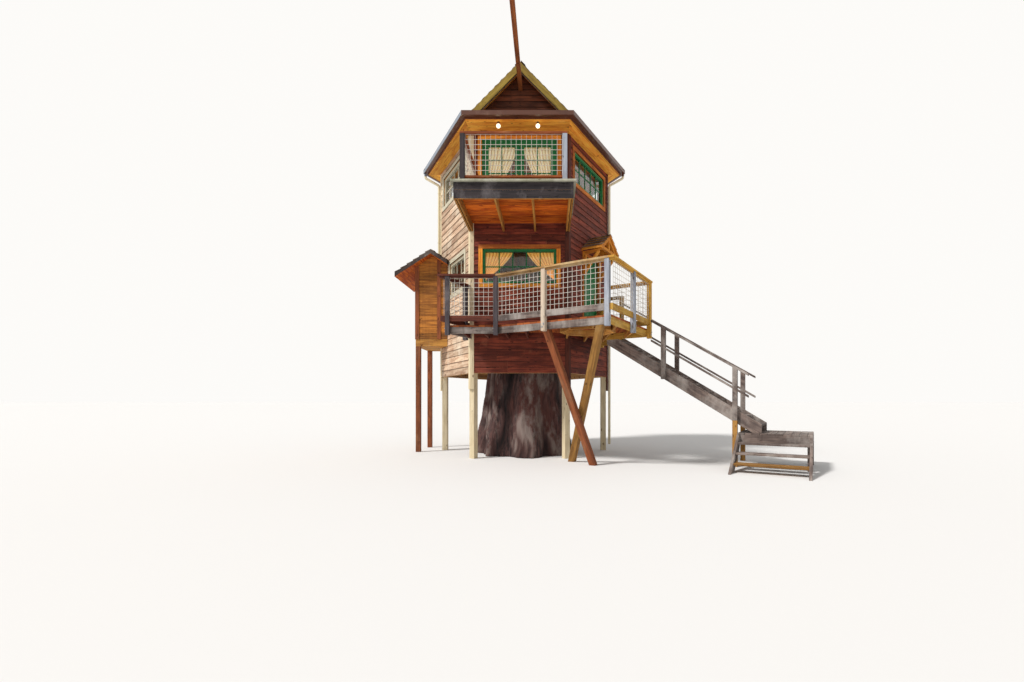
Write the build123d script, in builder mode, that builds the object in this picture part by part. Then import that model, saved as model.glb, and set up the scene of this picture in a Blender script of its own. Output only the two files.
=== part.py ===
from build123d import *
import os
from math import cos, sin, tan, radians, degrees, atan, atan2, exp, sqrt

# Tree house: a two-storey six-sided cabin on a great stump, with a railed balcony in front,
# a deck round a tree opening, a long stair and a small gabled side bay.
# Millimetres, +Z up, origin at the centre of the cabin's plan on the ground, front towards -Y.

# Levels
floor_level = 2970.0
upper_level = 5510.0
siding_foot = 2000.0
stump_top = 2510.0
eave_height = 7600.0
soffit_drop = 40.0
soffit_level = eave_height - soffit_drop

# Cabin plan and walls
hex_side = 2286.0
wall_apothem = hex_side * cos(radians(30))
wall_thick = 125.0
post_size = 140.0
post_inset = 115.0
corner_board_wide = 95.0
corner_board_thick = 19.0
corner_board_foot = 1620.0

# Timber stock
board_thick = 38.0
joist_deep = 184.0
joist_thick = 38.0
joist_gap = 500.0
beam_wide = 140.0
beam_half_span = 640.0

# Roof
roof_slope = 1.17
roof_thick = 150.0
roof_spare = 100.0
side_eave_reach = 423.0
front_eave_reach = 700.0
eave_apothem = wall_apothem + side_eave_reach
front_eave = wall_apothem + front_eave_reach
skirt_pitch = 25.0
gutter_wide = 100.0
gutter_high = 100.0
gutter_skin = 4.0
gutter_top = eave_height + 90.0
fascia_lip = 10.0
fascia_thick = 22.0
soffit_thick = 18.0
gable_front = 1580.0
gable_thick = 90.0
barge_front = 1850.0
barge_deep = 140.0
barge_thick = 30.0
pole_size = 95.0
pole_foot = eave_height + 1220.0
pole_reach = 4600.0
pole_inside = 1200.0
pole_nose = 12.0
lamp_places = ((-440.0, -2450.0), (440.0, -2450.0))
lamp_radius = 48.0
lamp_cap_radius = 30.0
lamp_cap_high = 45.0
lamp_drop = 83.0

# Rain pipes, from the gutter's underside in to the wall and down
pipe_radius = 34.0
pipe_bend = 70.0
pipe_drop = 90.0
pipe_wall_drop = 300.0
pipe_foot = 160.0

# Windows and doors: frames, glass and trim
frame_wide = 60.0
frame_deep = 90.0
frame_set = 15.0
trim_wide = 95.0
trim_thick = 22.0
glass_thick = 6.0
glass_set = 55.0
lining = 45.0
stile = 105.0
kick = 230.0
leaf_gap = 4.0
leaf_thick = 50.0
entry_leaf_set = 35.0
entry_leaf_thick = 45.0

# Openings: middle along the wall, width, foot and head
window_sill = floor_level + 1110.0
window_head = floor_level + 1920.0
high_sill = soffit_level - 990.0
high_head = soffit_level - 260.0
front_window = (0.0, 1720.0, window_sill, window_head)
side_window_low = (215.0, 1090.0, window_sill, window_head)
back_window_low = (0.0, 1390.0, window_sill, window_head)
back_left_window_low = (-420.0, 1000.0, window_sill, window_head)
side_window_high = (0.0, 1720.0, high_sill, high_head)
balcony_door = (0.0, 1750.0, upper_level, soffit_level - 120.0)
entry_door = (57.0, 820.0, floor_level, floor_level + 1980.0)

# Balcony
balcony_reach = 1800.0
balcony_half = 1170.0
balcony_rim_thick = 38.0
balcony_rim_top = upper_level + 100.0
cap_over = 55.0
cap_thick = 40.0
cap_wide = 145.0
balcony_joist_x = (-1100.0, -367.0, 367.0, 1100.0)
balcony_post = 95.0
balcony_post_x = 1000.0
wall_post = 50.0
balcony_rail_top = upper_level + 1090.0
low_rail_lift = 60.0
low_rail_wide = 60.0

# Deck
rail_height = 1070.0
deck_rim_deep = 140.0
deck_post = 95.0
deck_post_drop = 40.0
rail_thick = 38.0
rail_wide = 120.0
low_rail_height = 75.0
low_rail_deep = 120.0
sub_rail_wide = 60.0
sub_rail_deep = 38.0
mesh_pitch = 203.2
mesh_bar = 6.0
deck_corner_left = (-1520.0, -2870.0)
deck_corner_mid = (-400.0, -2870.0)
deck_corner_front = (1843.0, -4165.0)
deck_side_run = 2160.0
landing_depth = 700.0
landing_along = 1650.0
tree_hole = (1510.0, -2980.0)
tree_hole_radius = 470.0
header_gap = 40.0
deck_joist_gap = 450.0
deck_joist_middle = (650.0, -3000.0)
deck_joist_long = 3200.0
deck_joist_count = 11
front_post_at = 1165.0
side_post_at = 1070.0
house_post_at = 140.0

# Stair: a long flight down to a platform, and a short one turned to the front
riser_count = 17
lower_risers = 4
stair_going = 280.0
stringer_thick = 50.0
stringer_deep = 240.0
tread_thick = 38.0
tread_gap = 14.0
stair_rail_height = 880.0
rail_plumb = 48.0
rail_past_newel = 260.0
newel_size = 95.0
newel_places = (2070.0, 3560.0)
platform_past = 900.0
platform_rim_deep = 140.0

# Raking legs under the deck: where their tops stand along the front rim, and their feet
leg_size = 140.0
leg_tops_along = (front_post_at, 2350.0)
leg_inset = 75.0
leg_feet = ((1620.0, -3050.0), (1200.0, -2450.0))

# Door hood
hood_half = 540.0
hood_reach = 560.0
hood_peak = floor_level + 2520.0
hood_drop = 400.0
hood_thick = 45.0
hood_timber = 70.0
hood_verge = 60.0
hood_brow = 40.0
hood_lap = 40.0
bracket_high = 560.0
strut_wide = 90.0

# Side bay
bay_ridge_x = -hex_side - 94.0
bay_ridge = floor_level + 2300.0
bay_half = 930.0
bay_right = 420.0
bay_drop = 600.0
bay_left = -hex_side - 544.0
bay_front = -550.0
bay_back = 750.0
bay_overhang = 230.0
bay_roof_thick = 90.0
bay_wall_thick = 100.0
bay_post = 120.0
left_pipe_end = bay_ridge + 60.0

# Stump: a fluted trunk that spreads into root buttresses at the ground
stump_radius_top = 930.0
stump_radius_foot = 1120.0
stump_centre = (60.0, -500.0)
stump_levels = (0.0, 220.0, 520.0, 900.0, 1400.0, 1950.0, stump_top)
flute_count = 19
flute_deep = 26.0
flute_points = 76
# Bearing of each root in degrees, how far it stands out at the ground, and half its width in degrees
roots = ((-84.0, 420.0, 17.0), (-130.0, 260.0, 13.0), (-35.0, 300.0, 15.0), (20.0, 240.0, 14.0),
         (75.0, 320.0, 17.0), (130.0, 260.0, 14.0), (178.0, 330.0, 16.0))
root_share_at_top = 0.25

step_rise = floor_level / riser_count
roof_pitch = degrees(atan(roof_slope))
slab_setback = gutter_wide + fascia_thick
joist_top = floor_level - board_thick
upper_joist_top = upper_level - board_thick
beam_top = joist_top - joist_deep

os.makedirs("parts", exist_ok=True)


def save(piece, name):
    piece.part.label = name
    export_step(piece.part, f"parts/{name}.step")


def normal_of(side):
    # Side 0 is the front wall; the count runs to the right and round the back
    turn = radians(60 * side - 90)
    return Vector(cos(turn), sin(turn), 0)


def wall_plane(side, out=0.0):
    # A plane on a wall's outer face, with x along the wall and y up
    normal = normal_of(side)
    along = Vector(-normal.Y, normal.X, 0)
    return Plane(origin=normal * (wall_apothem + out), x_dir=along, z_dir=normal)


def wall_foot_plane(side, height):
    # A level plane at the middle of a wall's outer face, with y pointing inwards
    normal = normal_of(side)
    along = Vector(-normal.Y, normal.X, 0)
    return Plane(origin=normal * wall_apothem + Vector(0, 0, height), x_dir=along, z_dir=(0, 0, 1))


def slope_plane(side, drop=0.0):
    # A main roof plane, dropped square to itself
    normal = normal_of(side)
    tilt = radians(roof_pitch)
    up = normal * sin(tilt) + Vector(0, 0, cos(tilt))
    along = Vector(-normal.Y, normal.X, 0)
    start = normal * eave_apothem + Vector(0, 0, eave_height) - up * drop
    return Plane(origin=start, x_dir=along, z_dir=up)


def skirt_plane(drop=0.0):
    # The low roof between the front eave and the gable wall
    tilt = radians(skirt_pitch)
    up = Vector(0, -sin(tilt), cos(tilt))
    start = Vector(0, -front_eave, eave_height) - up * drop
    return Plane(origin=start, x_dir=(1, 0, 0), z_dir=up)


def eave_points(setback):
    # The six-sided eave, pushed forward at the front, set in from the gutter's lip
    reach = eave_apothem - setback
    front = front_eave - setback
    front_x = (reach - front * 0.5) / cos(radians(30))
    side_x = reach / cos(radians(30))
    back_x = side_x / 2
    return [(-front_x, -front), (front_x, -front), (side_x, 0),
            (back_x, reach), (-back_x, reach), (-side_x, 0)]


def hip_x(y):
    # Half the width between the two front hips at a distance y in front of the centre
    share = tan(radians(skirt_pitch)) / roof_slope
    return (eave_apothem - y / 2 - share * (front_eave - y)) / cos(radians(30))


def hexagon(apothem):
    radius = apothem / cos(radians(30))
    return [(radius * cos(radians(60 * n)), radius * sin(radians(60 * n))) for n in range(6)]



def bark_radius(bearing, height):
    # The trunk swells towards the ground, more so along each root, under a fine fluting
    share = 1 - height / stump_top
    reach = stump_radius_top + (stump_radius_foot - stump_radius_top) * share ** 1.6
    swell = root_share_at_top + (1 - root_share_at_top) * share ** 2
    for root_bearing, root_reach, half_wide in roots:
        away = (bearing - root_bearing + 180) % 360 - 180
        reach += root_reach * swell * exp(-(away / half_wide) ** 2)
    return reach + flute_deep * cos(flute_count * radians(bearing))


with BuildPart() as stump:
    for height in stump_levels:
        with BuildSketch(Plane.XY.offset(height)):
            with BuildLine(Location(stump_centre)):
                ring = []
                for step in range(flute_points):
                    bearing = 360 * step / flute_points
                    reach = bark_radius(bearing, height)
                    ring.append((reach * cos(radians(bearing)), reach * sin(radians(bearing))))
                Polyline(*ring, close=True)
            make_face()
    loft(ruled=True)
save(stump, "stump")

# Posts that stand under the wall corners, each turned to face outwards
post_radius = hex_side - post_inset
with BuildPart() as corner_posts:
    with BuildSketch():
        with PolarLocations(post_radius, 6):
            Rectangle(post_size, post_size)
    extrude(amount=siding_foot)
save(corner_posts, "corner_posts")

# Floor framing: a ring beam inside the walls, two beams across the stump, joists over them
inner_apothem = wall_apothem - wall_thick
with BuildPart() as floor_beams:
    with BuildSketch(Plane.XY.offset(stump_top)):
        Polygon(*hexagon(inner_apothem), align=None)
        Polygon(*hexagon(inner_apothem - beam_wide), align=None, mode=Mode.SUBTRACT)
        with BuildSketch(mode=Mode.PRIVATE) as room:
            Polygon(*hexagon(inner_apothem), align=None)
        with Locations((0, stump_centre[1] - beam_half_span), (0, stump_centre[1] + beam_half_span)):
            Rectangle(2 * hex_side, beam_wide)
        add(room.sketch, mode=Mode.INTERSECT)
    extrude(amount=beam_top - stump_top)
save(floor_beams, "floor_beams")


joist_count = 2 * int((hex_side - joist_gap / 2) // joist_gap)
with BuildPart() as floor_joists:
    for level in (beam_top, upper_joist_top - joist_deep):
        with BuildSketch(Plane.XY.offset(level)):
            with GridLocations(joist_gap, 0, joist_count, 1):
                Rectangle(joist_thick, 2 * hex_side)
            Polygon(*hexagon(inner_apothem), align=None, mode=Mode.INTERSECT)
        extrude(amount=joist_deep)
save(floor_joists, "floor_joists")


def floor_boards(level):
    with BuildPart() as piece:
        with BuildSketch(Plane.XY.offset(level)):
            Polygon(*hexagon(inner_apothem), align=None)
        extrude(amount=board_thick)
    return piece


lower_floor = floor_boards(joist_top)
save(lower_floor, "lower_floor")
upper_floor = floor_boards(upper_joist_top)
save(upper_floor, "upper_floor")

# Walls, mitred at the corners, cut to the roof above and cut through at doors and windows
wall_names = ("front_wall", "front_right_wall", "back_right_wall",
              "back_wall", "back_left_wall", "front_left_wall")
low_openings = (front_window, entry_door, back_window_low,
                back_window_low, back_left_window_low, side_window_low)
high_openings = (balcony_door, side_window_high, side_window_high,
                 side_window_high, side_window_high, side_window_high)


def opening_shape(opening, margin=0.0):
    middle, wide, low, high = opening
    with Locations((middle, (low + high) / 2)):
        Rectangle(wide + 2 * margin, high - low + 2 * margin)


def opening_hole(opening, margin=0.0):
    middle, wide, low, high = opening
    with Locations((middle, (low + high) / 2)):
        Rectangle(wide + 2 * margin, high - low + 2 * margin, mode=Mode.SUBTRACT)


def wall(side):
    mitre = wall_thick * tan(radians(30))
    half = hex_side / 2
    with BuildPart() as panel:
        with BuildSketch(wall_foot_plane(side, siding_foot)):
            Polygon((-half, 0), (half, 0), (half - mitre, wall_thick), (mitre - half, wall_thick),
                    align=None)
        extrude(amount=soffit_level - siding_foot + hex_side / 2)
        if side != 0:
            split(bisect_by=slope_plane(side, roof_thick), keep=Keep.BOTTOM)
        if side in (0, 1, 5):
            split(bisect_by=skirt_plane(roof_thick), keep=Keep.BOTTOM)
        with BuildSketch(wall_plane(side)):
            opening_shape(low_openings[side])
            opening_shape(high_openings[side])
        extrude(amount=-wall_thick, mode=Mode.SUBTRACT)
    return panel


for side, wall_name in enumerate(wall_names):
    save(wall(side), wall_name)

# Corner boards: a folded pair of boards over each outer corner of the siding
with BuildPart() as corner_boards:
    for corner in range(6):
        outer = hexagon(wall_apothem + corner_board_thick)[corner]
        with BuildSketch(Plane.XY.offset(corner_board_foot)):
            Polygon(*hexagon(wall_apothem + corner_board_thick), align=None)
            Polygon(*hexagon(wall_apothem), align=None, mode=Mode.SUBTRACT)
            with Locations(outer):
                Circle(corner_board_wide, mode=Mode.INTERSECT)
        extrude(amount=soffit_level - corner_board_foot)
save(corner_boards, "corner_boards")

# Roof slabs: each is a plan wedge cut by its own sloping planes, so that hips are plumb mitres
roof_base = soffit_level + soffit_thick
roof_rise = roof_slope * eave_apothem + eave_height - roof_base + roof_spare
notch_points = [(hip_x(front_eave), -front_eave), (hip_x(barge_front), -barge_front)]


def roof_slab(side):
    eave = eave_points(slab_setback)
    start, end = eave[side], eave[(side + 1) % 6]
    with BuildPart() as slab:
        with BuildSketch(Plane.XY.offset(roof_base)):
            if side == 1:
                Polygon((0, 0), (0, start[1]), start, end, align=None)
                Polygon((0, -front_eave), notch_points[0], notch_points[1], (0, -barge_front),
                        align=None, mode=Mode.SUBTRACT)
            elif side == 5:
                Polygon((0, 0), start, end, (0, end[1]), align=None)
                Polygon((0, -front_eave), (-notch_points[0][0], -front_eave),
                        (-notch_points[1][0], -barge_front), (0, -barge_front),
                        align=None, mode=Mode.SUBTRACT)
            else:
                Polygon((0, 0), start, end, align=None)
        extrude(amount=roof_rise)
        split(bisect_by=slope_plane(side), keep=Keep.BOTTOM)
        split(bisect_by=slope_plane(side, roof_thick), keep=Keep.TOP)
    return slab


roof_right_front = roof_slab(1)
roof_right_back = roof_slab(2)
roof_back = roof_slab(3)
roof_left_back = roof_slab(4)
roof_left_front = roof_slab(5)
save(roof_right_front, "roof_right_front")
save(roof_right_back, "roof_right_back")
save(roof_back, "roof_back")
save(roof_left_back, "roof_left_back")
save(roof_left_front, "roof_left_front")

# Low skirt roof over the front eave, tucked in under the two front slabs
gable_back = gable_front - gable_thick
with BuildPart() as skirt_roof:
    with BuildSketch(Plane.XY.offset(roof_base)):
        Polygon(*eave_points(slab_setback), align=None)
        Polygon((-hip_x(front_eave), -front_eave), (hip_x(front_eave), -front_eave),
                (hip_x(gable_back), -gable_back), (-hip_x(gable_back), -gable_back),
                align=None, mode=Mode.INTERSECT)
    extrude(amount=roof_rise)
    split(bisect_by=skirt_plane(), keep=Keep.BOTTOM)
    split(bisect_by=skirt_plane(roof_thick), keep=Keep.TOP)
    add(roof_left_front.part, mode=Mode.SUBTRACT)
    add(roof_right_front.part, mode=Mode.SUBTRACT)
save(skirt_roof, "skirt_roof")

# Gable wall on the skirt roof, with a snug hole for the lifting pole
with BuildPart() as gable_wall:
    with BuildSketch(Plane.XZ.offset(gable_back)):
        with Locations((0, roof_base + roof_rise / 2)):
            Rectangle(2 * hex_side, roof_rise)
    extrude(amount=gable_thick)
    split(bisect_by=slope_plane(5, roof_thick), keep=Keep.BOTTOM)
    split(bisect_by=slope_plane(1, roof_thick), keep=Keep.BOTTOM)
    split(bisect_by=skirt_plane(), keep=Keep.TOP)
    with BuildSketch(Plane.XZ.offset(gable_back)):
        with Locations((0, pole_foot + pole_size / 2)):
            Rectangle(pole_size, pole_size)
    extrude(amount=gable_thick, mode=Mode.SUBTRACT)
save(gable_wall, "gable_wall")

with BuildPart() as ridge_pole:
    with BuildSketch(Plane.XZ.offset(pole_inside)):
        with Locations((0, pole_foot + pole_size / 2)):
            Rectangle(pole_size, pole_size)
    extrude(amount=pole_reach - pole_inside)
    chamfer(ridge_pole.faces().sort_by(Axis.Y)[0].edges(), pole_nose)
save(ridge_pole, "ridge_pole")

# Barge boards: a pair mitred at the peak, cut off on the skirt roof
barge_slope = roof_slope * cos(radians(30))
barge_peak = eave_height + roof_slope * (eave_apothem - barge_front / 2)
barge_drop = barge_deep * sqrt(1 + barge_slope ** 2)
barge_foot = barge_peak - barge_slope * hex_side
with BuildPart() as barge_boards:
    with BuildSketch(Plane.XZ.offset(barge_front)):
        Polygon((0, barge_peak), (hex_side, barge_foot), (hex_side, barge_foot - barge_drop),
                (0, barge_peak - barge_drop), (-hex_side, barge_foot - barge_drop),
                (-hex_side, barge_foot), align=None)
    extrude(amount=barge_thick)
    split(bisect_by=skirt_plane(), keep=Keep.TOP)
save(barge_boards, "barge_boards")

# Eaves: a flat soffit, a fascia and a gutter all round
with BuildPart() as soffit:
    with BuildSketch(Plane.XY.offset(soffit_level)):
        Polygon(*eave_points(slab_setback), align=None)
        Polygon(*hexagon(wall_apothem), align=None, mode=Mode.SUBTRACT)
    extrude(amount=soffit_thick)
save(soffit, "soffit")

# Two round lamps, each in a short socket under the front of the soffit
with BuildPart() as soffit_lamps:
    with BuildSketch(Plane.XY.offset(soffit_level)):
        with Locations(*lamp_places):
            Circle(lamp_cap_radius)
    extrude(amount=-lamp_cap_high)
    with Locations(*[(x, y, soffit_level - lamp_drop) for x, y in lamp_places]):
        Sphere(lamp_radius)
save(soffit_lamps, "soffit_lamps")

with BuildPart() as fascia:
    with BuildSketch(Plane.XY.offset(soffit_level)):
        Polygon(*eave_points(gutter_wide), align=None)
        Polygon(*eave_points(slab_setback), align=None, mode=Mode.SUBTRACT)
    extrude(amount=gutter_top + fascia_lip - soffit_level)
save(fascia, "fascia")

# Rain pipes run from the gutter in to the two widest corners and down
pipe_top_x = (eave_apothem - gutter_wide / 2) / cos(radians(30))
pipe_wall_x = hex_side + corner_board_thick / cos(radians(30)) + pipe_radius + 0.3
with BuildPart() as gutters:
    with BuildSketch(Plane.XY.offset(gutter_top - gutter_high)):
        Polygon(*eave_points(0), align=None)
        Polygon(*eave_points(gutter_wide), align=None, mode=Mode.SUBTRACT)
    extrude(amount=gutter_high)
    with BuildSketch(Plane.XY.offset(gutter_top - gutter_high + gutter_skin)):
        Polygon(*eave_points(gutter_skin), align=None)
        Polygon(*eave_points(gutter_wide - gutter_skin), align=None, mode=Mode.SUBTRACT)
    extrude(amount=gutter_high, mode=Mode.SUBTRACT)
    for hand, end in ((-1, left_pipe_end), (1, pipe_foot)):
        with BuildLine() as pipe_path:
            FilletPolyline((hand * pipe_top_x, 0, gutter_top - gutter_high),
                           (hand * pipe_top_x, 0, soffit_level - pipe_drop),
                           (hand * pipe_wall_x, 0, soffit_level - pipe_wall_drop),
                           (hand * pipe_wall_x, 0, end), radius=pipe_bend)
        with BuildSketch(Plane(origin=(hand * pipe_top_x, 0, gutter_top - gutter_high),
                               z_dir=(0, 0, -1))):
            RegularPolygon(pipe_radius, 8)
        sweep(path=pipe_path.line)
save(gutters, "gutters")

# Window frames, glass and outside trim, one ring to an opening
lower_sides = (0, 2, 3, 4, 5)
upper_sides = (1, 2, 3, 4, 5)

glazed = [(side, low_openings[side]) for side in lower_sides]
glazed += [(side, high_openings[side]) for side in upper_sides]
with BuildPart() as window_frames:
    for side, opening in glazed:
        with BuildSketch(wall_plane(side, -frame_set)):
            opening_shape(opening)
            opening_hole(opening, -frame_wide)
        extrude(amount=-frame_deep)
save(window_frames, "window_frames")

# Balcony doors: a fixed lining and two framed leaves with a wide meeting stile
door_mid, door_wide, door_low, door_high = balcony_door
leaf_wide = (door_wide - 2 * lining - leaf_gap) / 2
leaf_high = door_high - door_low - lining
pane_high = leaf_high - stile - kick
pane_z = door_low + kick + pane_high / 2
leaf_x = (leaf_wide + leaf_gap) / 2
with BuildPart() as balcony_doors:
    with BuildSketch(wall_plane(0, -frame_set)):
        opening_shape(balcony_door)
        with Locations((door_mid, (door_low + door_high - lining) / 2)):
            Rectangle(door_wide - 2 * lining, leaf_high, mode=Mode.SUBTRACT)
    extrude(amount=-frame_deep)
    with BuildSketch(wall_plane(0, leaf_thick / 2 - glass_set)):
        for hand in (-1, 1):
            with Locations((door_mid + hand * leaf_x, door_low + leaf_high / 2)):
                Rectangle(leaf_wide, leaf_high)
            with Locations((door_mid + hand * leaf_x, pane_z)):
                Rectangle(leaf_wide - 2 * stile, pane_high, mode=Mode.SUBTRACT)
    extrude(amount=-leaf_thick)
save(balcony_doors, "balcony_doors")

with BuildPart() as lower_glass:
    for side in lower_sides:
        with BuildSketch(wall_plane(side, -glass_set)):
            opening_shape(low_openings[side], -frame_wide)
        extrude(amount=-glass_thick)
save(lower_glass, "lower_glass")

with BuildPart() as upper_glass:
    for side in upper_sides:
        with BuildSketch(wall_plane(side, -glass_set)):
            opening_shape(high_openings[side], -frame_wide)
        extrude(amount=-glass_thick)
    with BuildSketch(wall_plane(0, -glass_set)):
        for hand in (-1, 1):
            with Locations((door_mid + hand * leaf_x, pane_z)):
                Rectangle(leaf_wide - 2 * stile, pane_high)
    extrude(amount=-glass_thick)
save(upper_glass, "upper_glass")

# Entry door: a lining and a plain closed leaf, under the hood on the right front wall
entry_mid, entry_wide, entry_low, entry_high = entry_door
with BuildPart() as entry_door_set:
    with BuildSketch(wall_plane(1, -frame_set)):
        opening_shape(entry_door)
        with Locations((entry_mid, (entry_low + entry_high - lining) / 2)):
            Rectangle(entry_wide - 2 * lining, entry_high - entry_low - lining, mode=Mode.SUBTRACT)
    extrude(amount=-frame_deep)
    with BuildSketch(wall_plane(1, -entry_leaf_set)):
        with Locations((entry_mid, (entry_low + entry_high - lining) / 2)):
            Rectangle(entry_wide - 2 * lining, entry_high - entry_low - lining)
    extrude(amount=-entry_leaf_thick)
save(entry_door_set, "entry_door")

# Trim boards round every opening on the outside; doors have none at the foot
with BuildPart() as window_trim:
    for side in range(6):
        with BuildSketch(wall_plane(side)):
            for opening in (low_openings[side], high_openings[side]):
                middle, wide, low, high = opening
                trim_foot = low if opening in (balcony_door, entry_door) else low - trim_wide
                trim_head = min(high + trim_wide, soffit_level)
                with Locations((middle, (trim_foot + trim_head) / 2)):
                    Rectangle(wide + 2 * trim_wide, trim_head - trim_foot)
                opening_hole(opening)
        extrude(amount=trim_thick)
save(window_trim, "window_trim")

# Balcony: joists out from the wall, rim boards, deck, cap and railing
wall_front = wall_apothem
rim_front = wall_front + balcony_reach
upper_joist_foot = upper_joist_top - joist_deep
rim_inner = balcony_half - balcony_rim_thick
with BuildPart() as balcony_joists:
    with BuildSketch(Plane.XY.offset(upper_joist_foot)):
        for joist_x in balcony_joist_x:
            with Locations((joist_x, -(wall_front + rim_front - balcony_rim_thick) / 2)):
                Rectangle(joist_thick, balcony_reach - balcony_rim_thick)
    extrude(amount=joist_deep)
    add(corner_boards.part, mode=Mode.SUBTRACT)
save(balcony_joists, "balcony_joists")

with BuildPart() as balcony_rim:
    with BuildSketch(Plane.XY.offset(upper_joist_foot)):
        Polygon((-balcony_half, -wall_front), (-balcony_half, -rim_front), (balcony_half, -rim_front),
                (balcony_half, -wall_front), (rim_inner, -wall_front),
                (rim_inner, balcony_rim_thick - rim_front), (-rim_inner, balcony_rim_thick - rim_front),
                (-rim_inner, -wall_front), align=None)
    extrude(amount=balcony_rim_top - upper_joist_foot)
    add(corner_boards.part, mode=Mode.SUBTRACT)
save(balcony_rim, "balcony_rim")

with BuildPart() as balcony_deck:
    with BuildSketch(Plane.XY.offset(upper_joist_top)):
        with Locations((0, -(wall_front + trim_thick + rim_front - balcony_rim_thick) / 2)):
            Rectangle(2 * rim_inner, balcony_reach - balcony_rim_thick - trim_thick)
    extrude(amount=board_thick)
save(balcony_deck, "balcony_deck")

cap_out = balcony_half + cap_over
cap_front = rim_front + cap_over
with BuildPart() as balcony_cap:
    with BuildSketch(Plane.XY.offset(balcony_rim_top)):
        Polygon((-cap_out, -wall_front), (-cap_out, -cap_front), (cap_out, -cap_front),
                (cap_out, -wall_front), (cap_out - cap_wide, -wall_front),
                (cap_out - cap_wide, cap_wide - cap_front), (cap_wide - cap_out, cap_wide - cap_front),
                (cap_wide - cap_out, -wall_front), align=None)
    extrude(amount=cap_thick)
    add(corner_boards.part, mode=Mode.SUBTRACT)
save(balcony_cap, "balcony_cap")

# Balcony posts stand on the cap; a half post is fixed to the wall on each side
rail_line_x = balcony_post_x
rail_line_y = cap_front - cap_wide + balcony_post / 2
cap_top = balcony_rim_top + cap_thick
rail_foot = balcony_rail_top - rail_thick
wall_post_y = wall_front + trim_thick + wall_post / 2
with BuildPart() as balcony_posts:
    with BuildSketch(Plane.XY.offset(cap_top)):
        with Locations((-rail_line_x, -rail_line_y), (rail_line_x, -rail_line_y)):
            Rectangle(balcony_post, balcony_post)
    extrude(amount=rail_foot - cap_top)
    with BuildSketch(Plane.XY.offset(upper_level)):
        with Locations((-rail_line_x, -wall_post_y), (rail_line_x, -wall_post_y)):
            Rectangle(balcony_post, wall_post)
    extrude(amount=rail_foot - upper_level)
save(balcony_posts, "balcony_posts")

side_rail_near = wall_post_y - wall_post / 2
side_rail_far = rail_line_y + balcony_post / 2
side_rail_y = -(side_rail_near + side_rail_far) / 2
low_rail_foot = cap_top + low_rail_lift
side_bay_long = rail_line_y - balcony_post / 2 - wall_post_y - wall_post / 2
side_bay_y = -(rail_line_y - balcony_post / 2 - side_bay_long / 2)
with BuildPart() as balcony_rails:
    with BuildSketch(Plane.XY.offset(rail_foot)):
        with Locations((0, -rail_line_y)):
            Rectangle(2 * rail_line_x + balcony_post, balcony_post)
        with Locations((-rail_line_x, side_rail_y), (rail_line_x, side_rail_y)):
            Rectangle(balcony_post, side_rail_far - side_rail_near)
    extrude(amount=rail_thick)
    with BuildSketch(Plane.XY.offset(low_rail_foot)):
        with Locations((0, -rail_line_y)):
            Rectangle(2 * rail_line_x - balcony_post, low_rail_wide)
        for hand in (-1, 1):
            with Locations((hand * rail_line_x, side_bay_y)):
                Rectangle(low_rail_wide, side_bay_long)
    extrude(amount=rail_thick)
save(balcony_rails, "balcony_rails")


# A welded mesh panel is drawn on its own upright plane: bars both ways, fused where they cross
def mesh_grid(wide, high):
    columns = int(wide / 2 // mesh_pitch) * 2
    rows = int(high // mesh_pitch)
    with GridLocations(mesh_pitch, 0, columns + 1, 1):
        Rectangle(mesh_bar, high)
    with GridLocations(0, mesh_pitch, 1, rows):
        Rectangle(wide, mesh_bar)


balcony_mesh_foot = low_rail_foot + rail_thick
balcony_mesh_high = rail_foot - balcony_mesh_foot
balcony_mesh_wide = 2 * rail_line_x - balcony_post
balcony_mesh_z = balcony_mesh_foot + balcony_mesh_high / 2
with BuildPart() as balcony_mesh:
    with BuildSketch(Plane(origin=(0, -rail_line_y, balcony_mesh_z), x_dir=(1, 0, 0), z_dir=(0, -1, 0))):
        mesh_grid(balcony_mesh_wide, balcony_mesh_high)
    extrude(amount=mesh_bar / 2, both=True)
    for hand in (-1, 1):
        with BuildSketch(Plane(origin=(hand * rail_line_x, side_bay_y, balcony_mesh_z),
                               x_dir=(0, 1, 0), z_dir=(1, 0, 0))):
            mesh_grid(side_bay_long, balcony_mesh_high)
        extrude(amount=mesh_bar / 2, both=True)
save(balcony_mesh, "balcony_mesh")

# Deck outline, from the cabin's left corner forward, round the tree opening and back to the wall
front_left_corner = (-hex_side / 2, -wall_apothem)
front_right_corner = (hex_side / 2, -wall_apothem)


def beside_right_wall(along, out):
    # A plan point measured along the right front wall from its front corner, and out from it
    start = Vector(*front_right_corner)
    point = start + Vector(0.5, cos(radians(30))) * along + Vector(cos(radians(30)), -0.5) * out
    return (point.X, point.Y)


def along_and_out(point):
    offset_point = Vector(*point) - Vector(*front_right_corner)
    return (offset_point.dot(Vector(0.5, cos(radians(30)))),
            offset_point.dot(Vector(cos(radians(30)), -0.5)))


side_corner_along, side_corner_out = along_and_out(deck_corner_front)
side_corner_along += deck_side_run
deck_corner_side = beside_right_wall(side_corner_along, side_corner_out)
landing_near = beside_right_wall(side_corner_along, landing_depth)
landing_far = beside_right_wall(landing_along, landing_depth)
landing_wall = beside_right_wall(landing_along, 0)
deck_outline = [front_left_corner, deck_corner_left, deck_corner_mid, deck_corner_front,
                deck_corner_side, landing_near, landing_far, landing_wall]


def band(points, wide):
    # A strip of even width along a plan path
    Polygon(*shifted_path(points, -wide / 2), *reversed(shifted_path(points, wide / 2)), align=None)


def cabin_footprint():
    Polygon(*hexagon(wall_apothem + trim_thick), align=None, mode=Mode.SUBTRACT)


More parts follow.
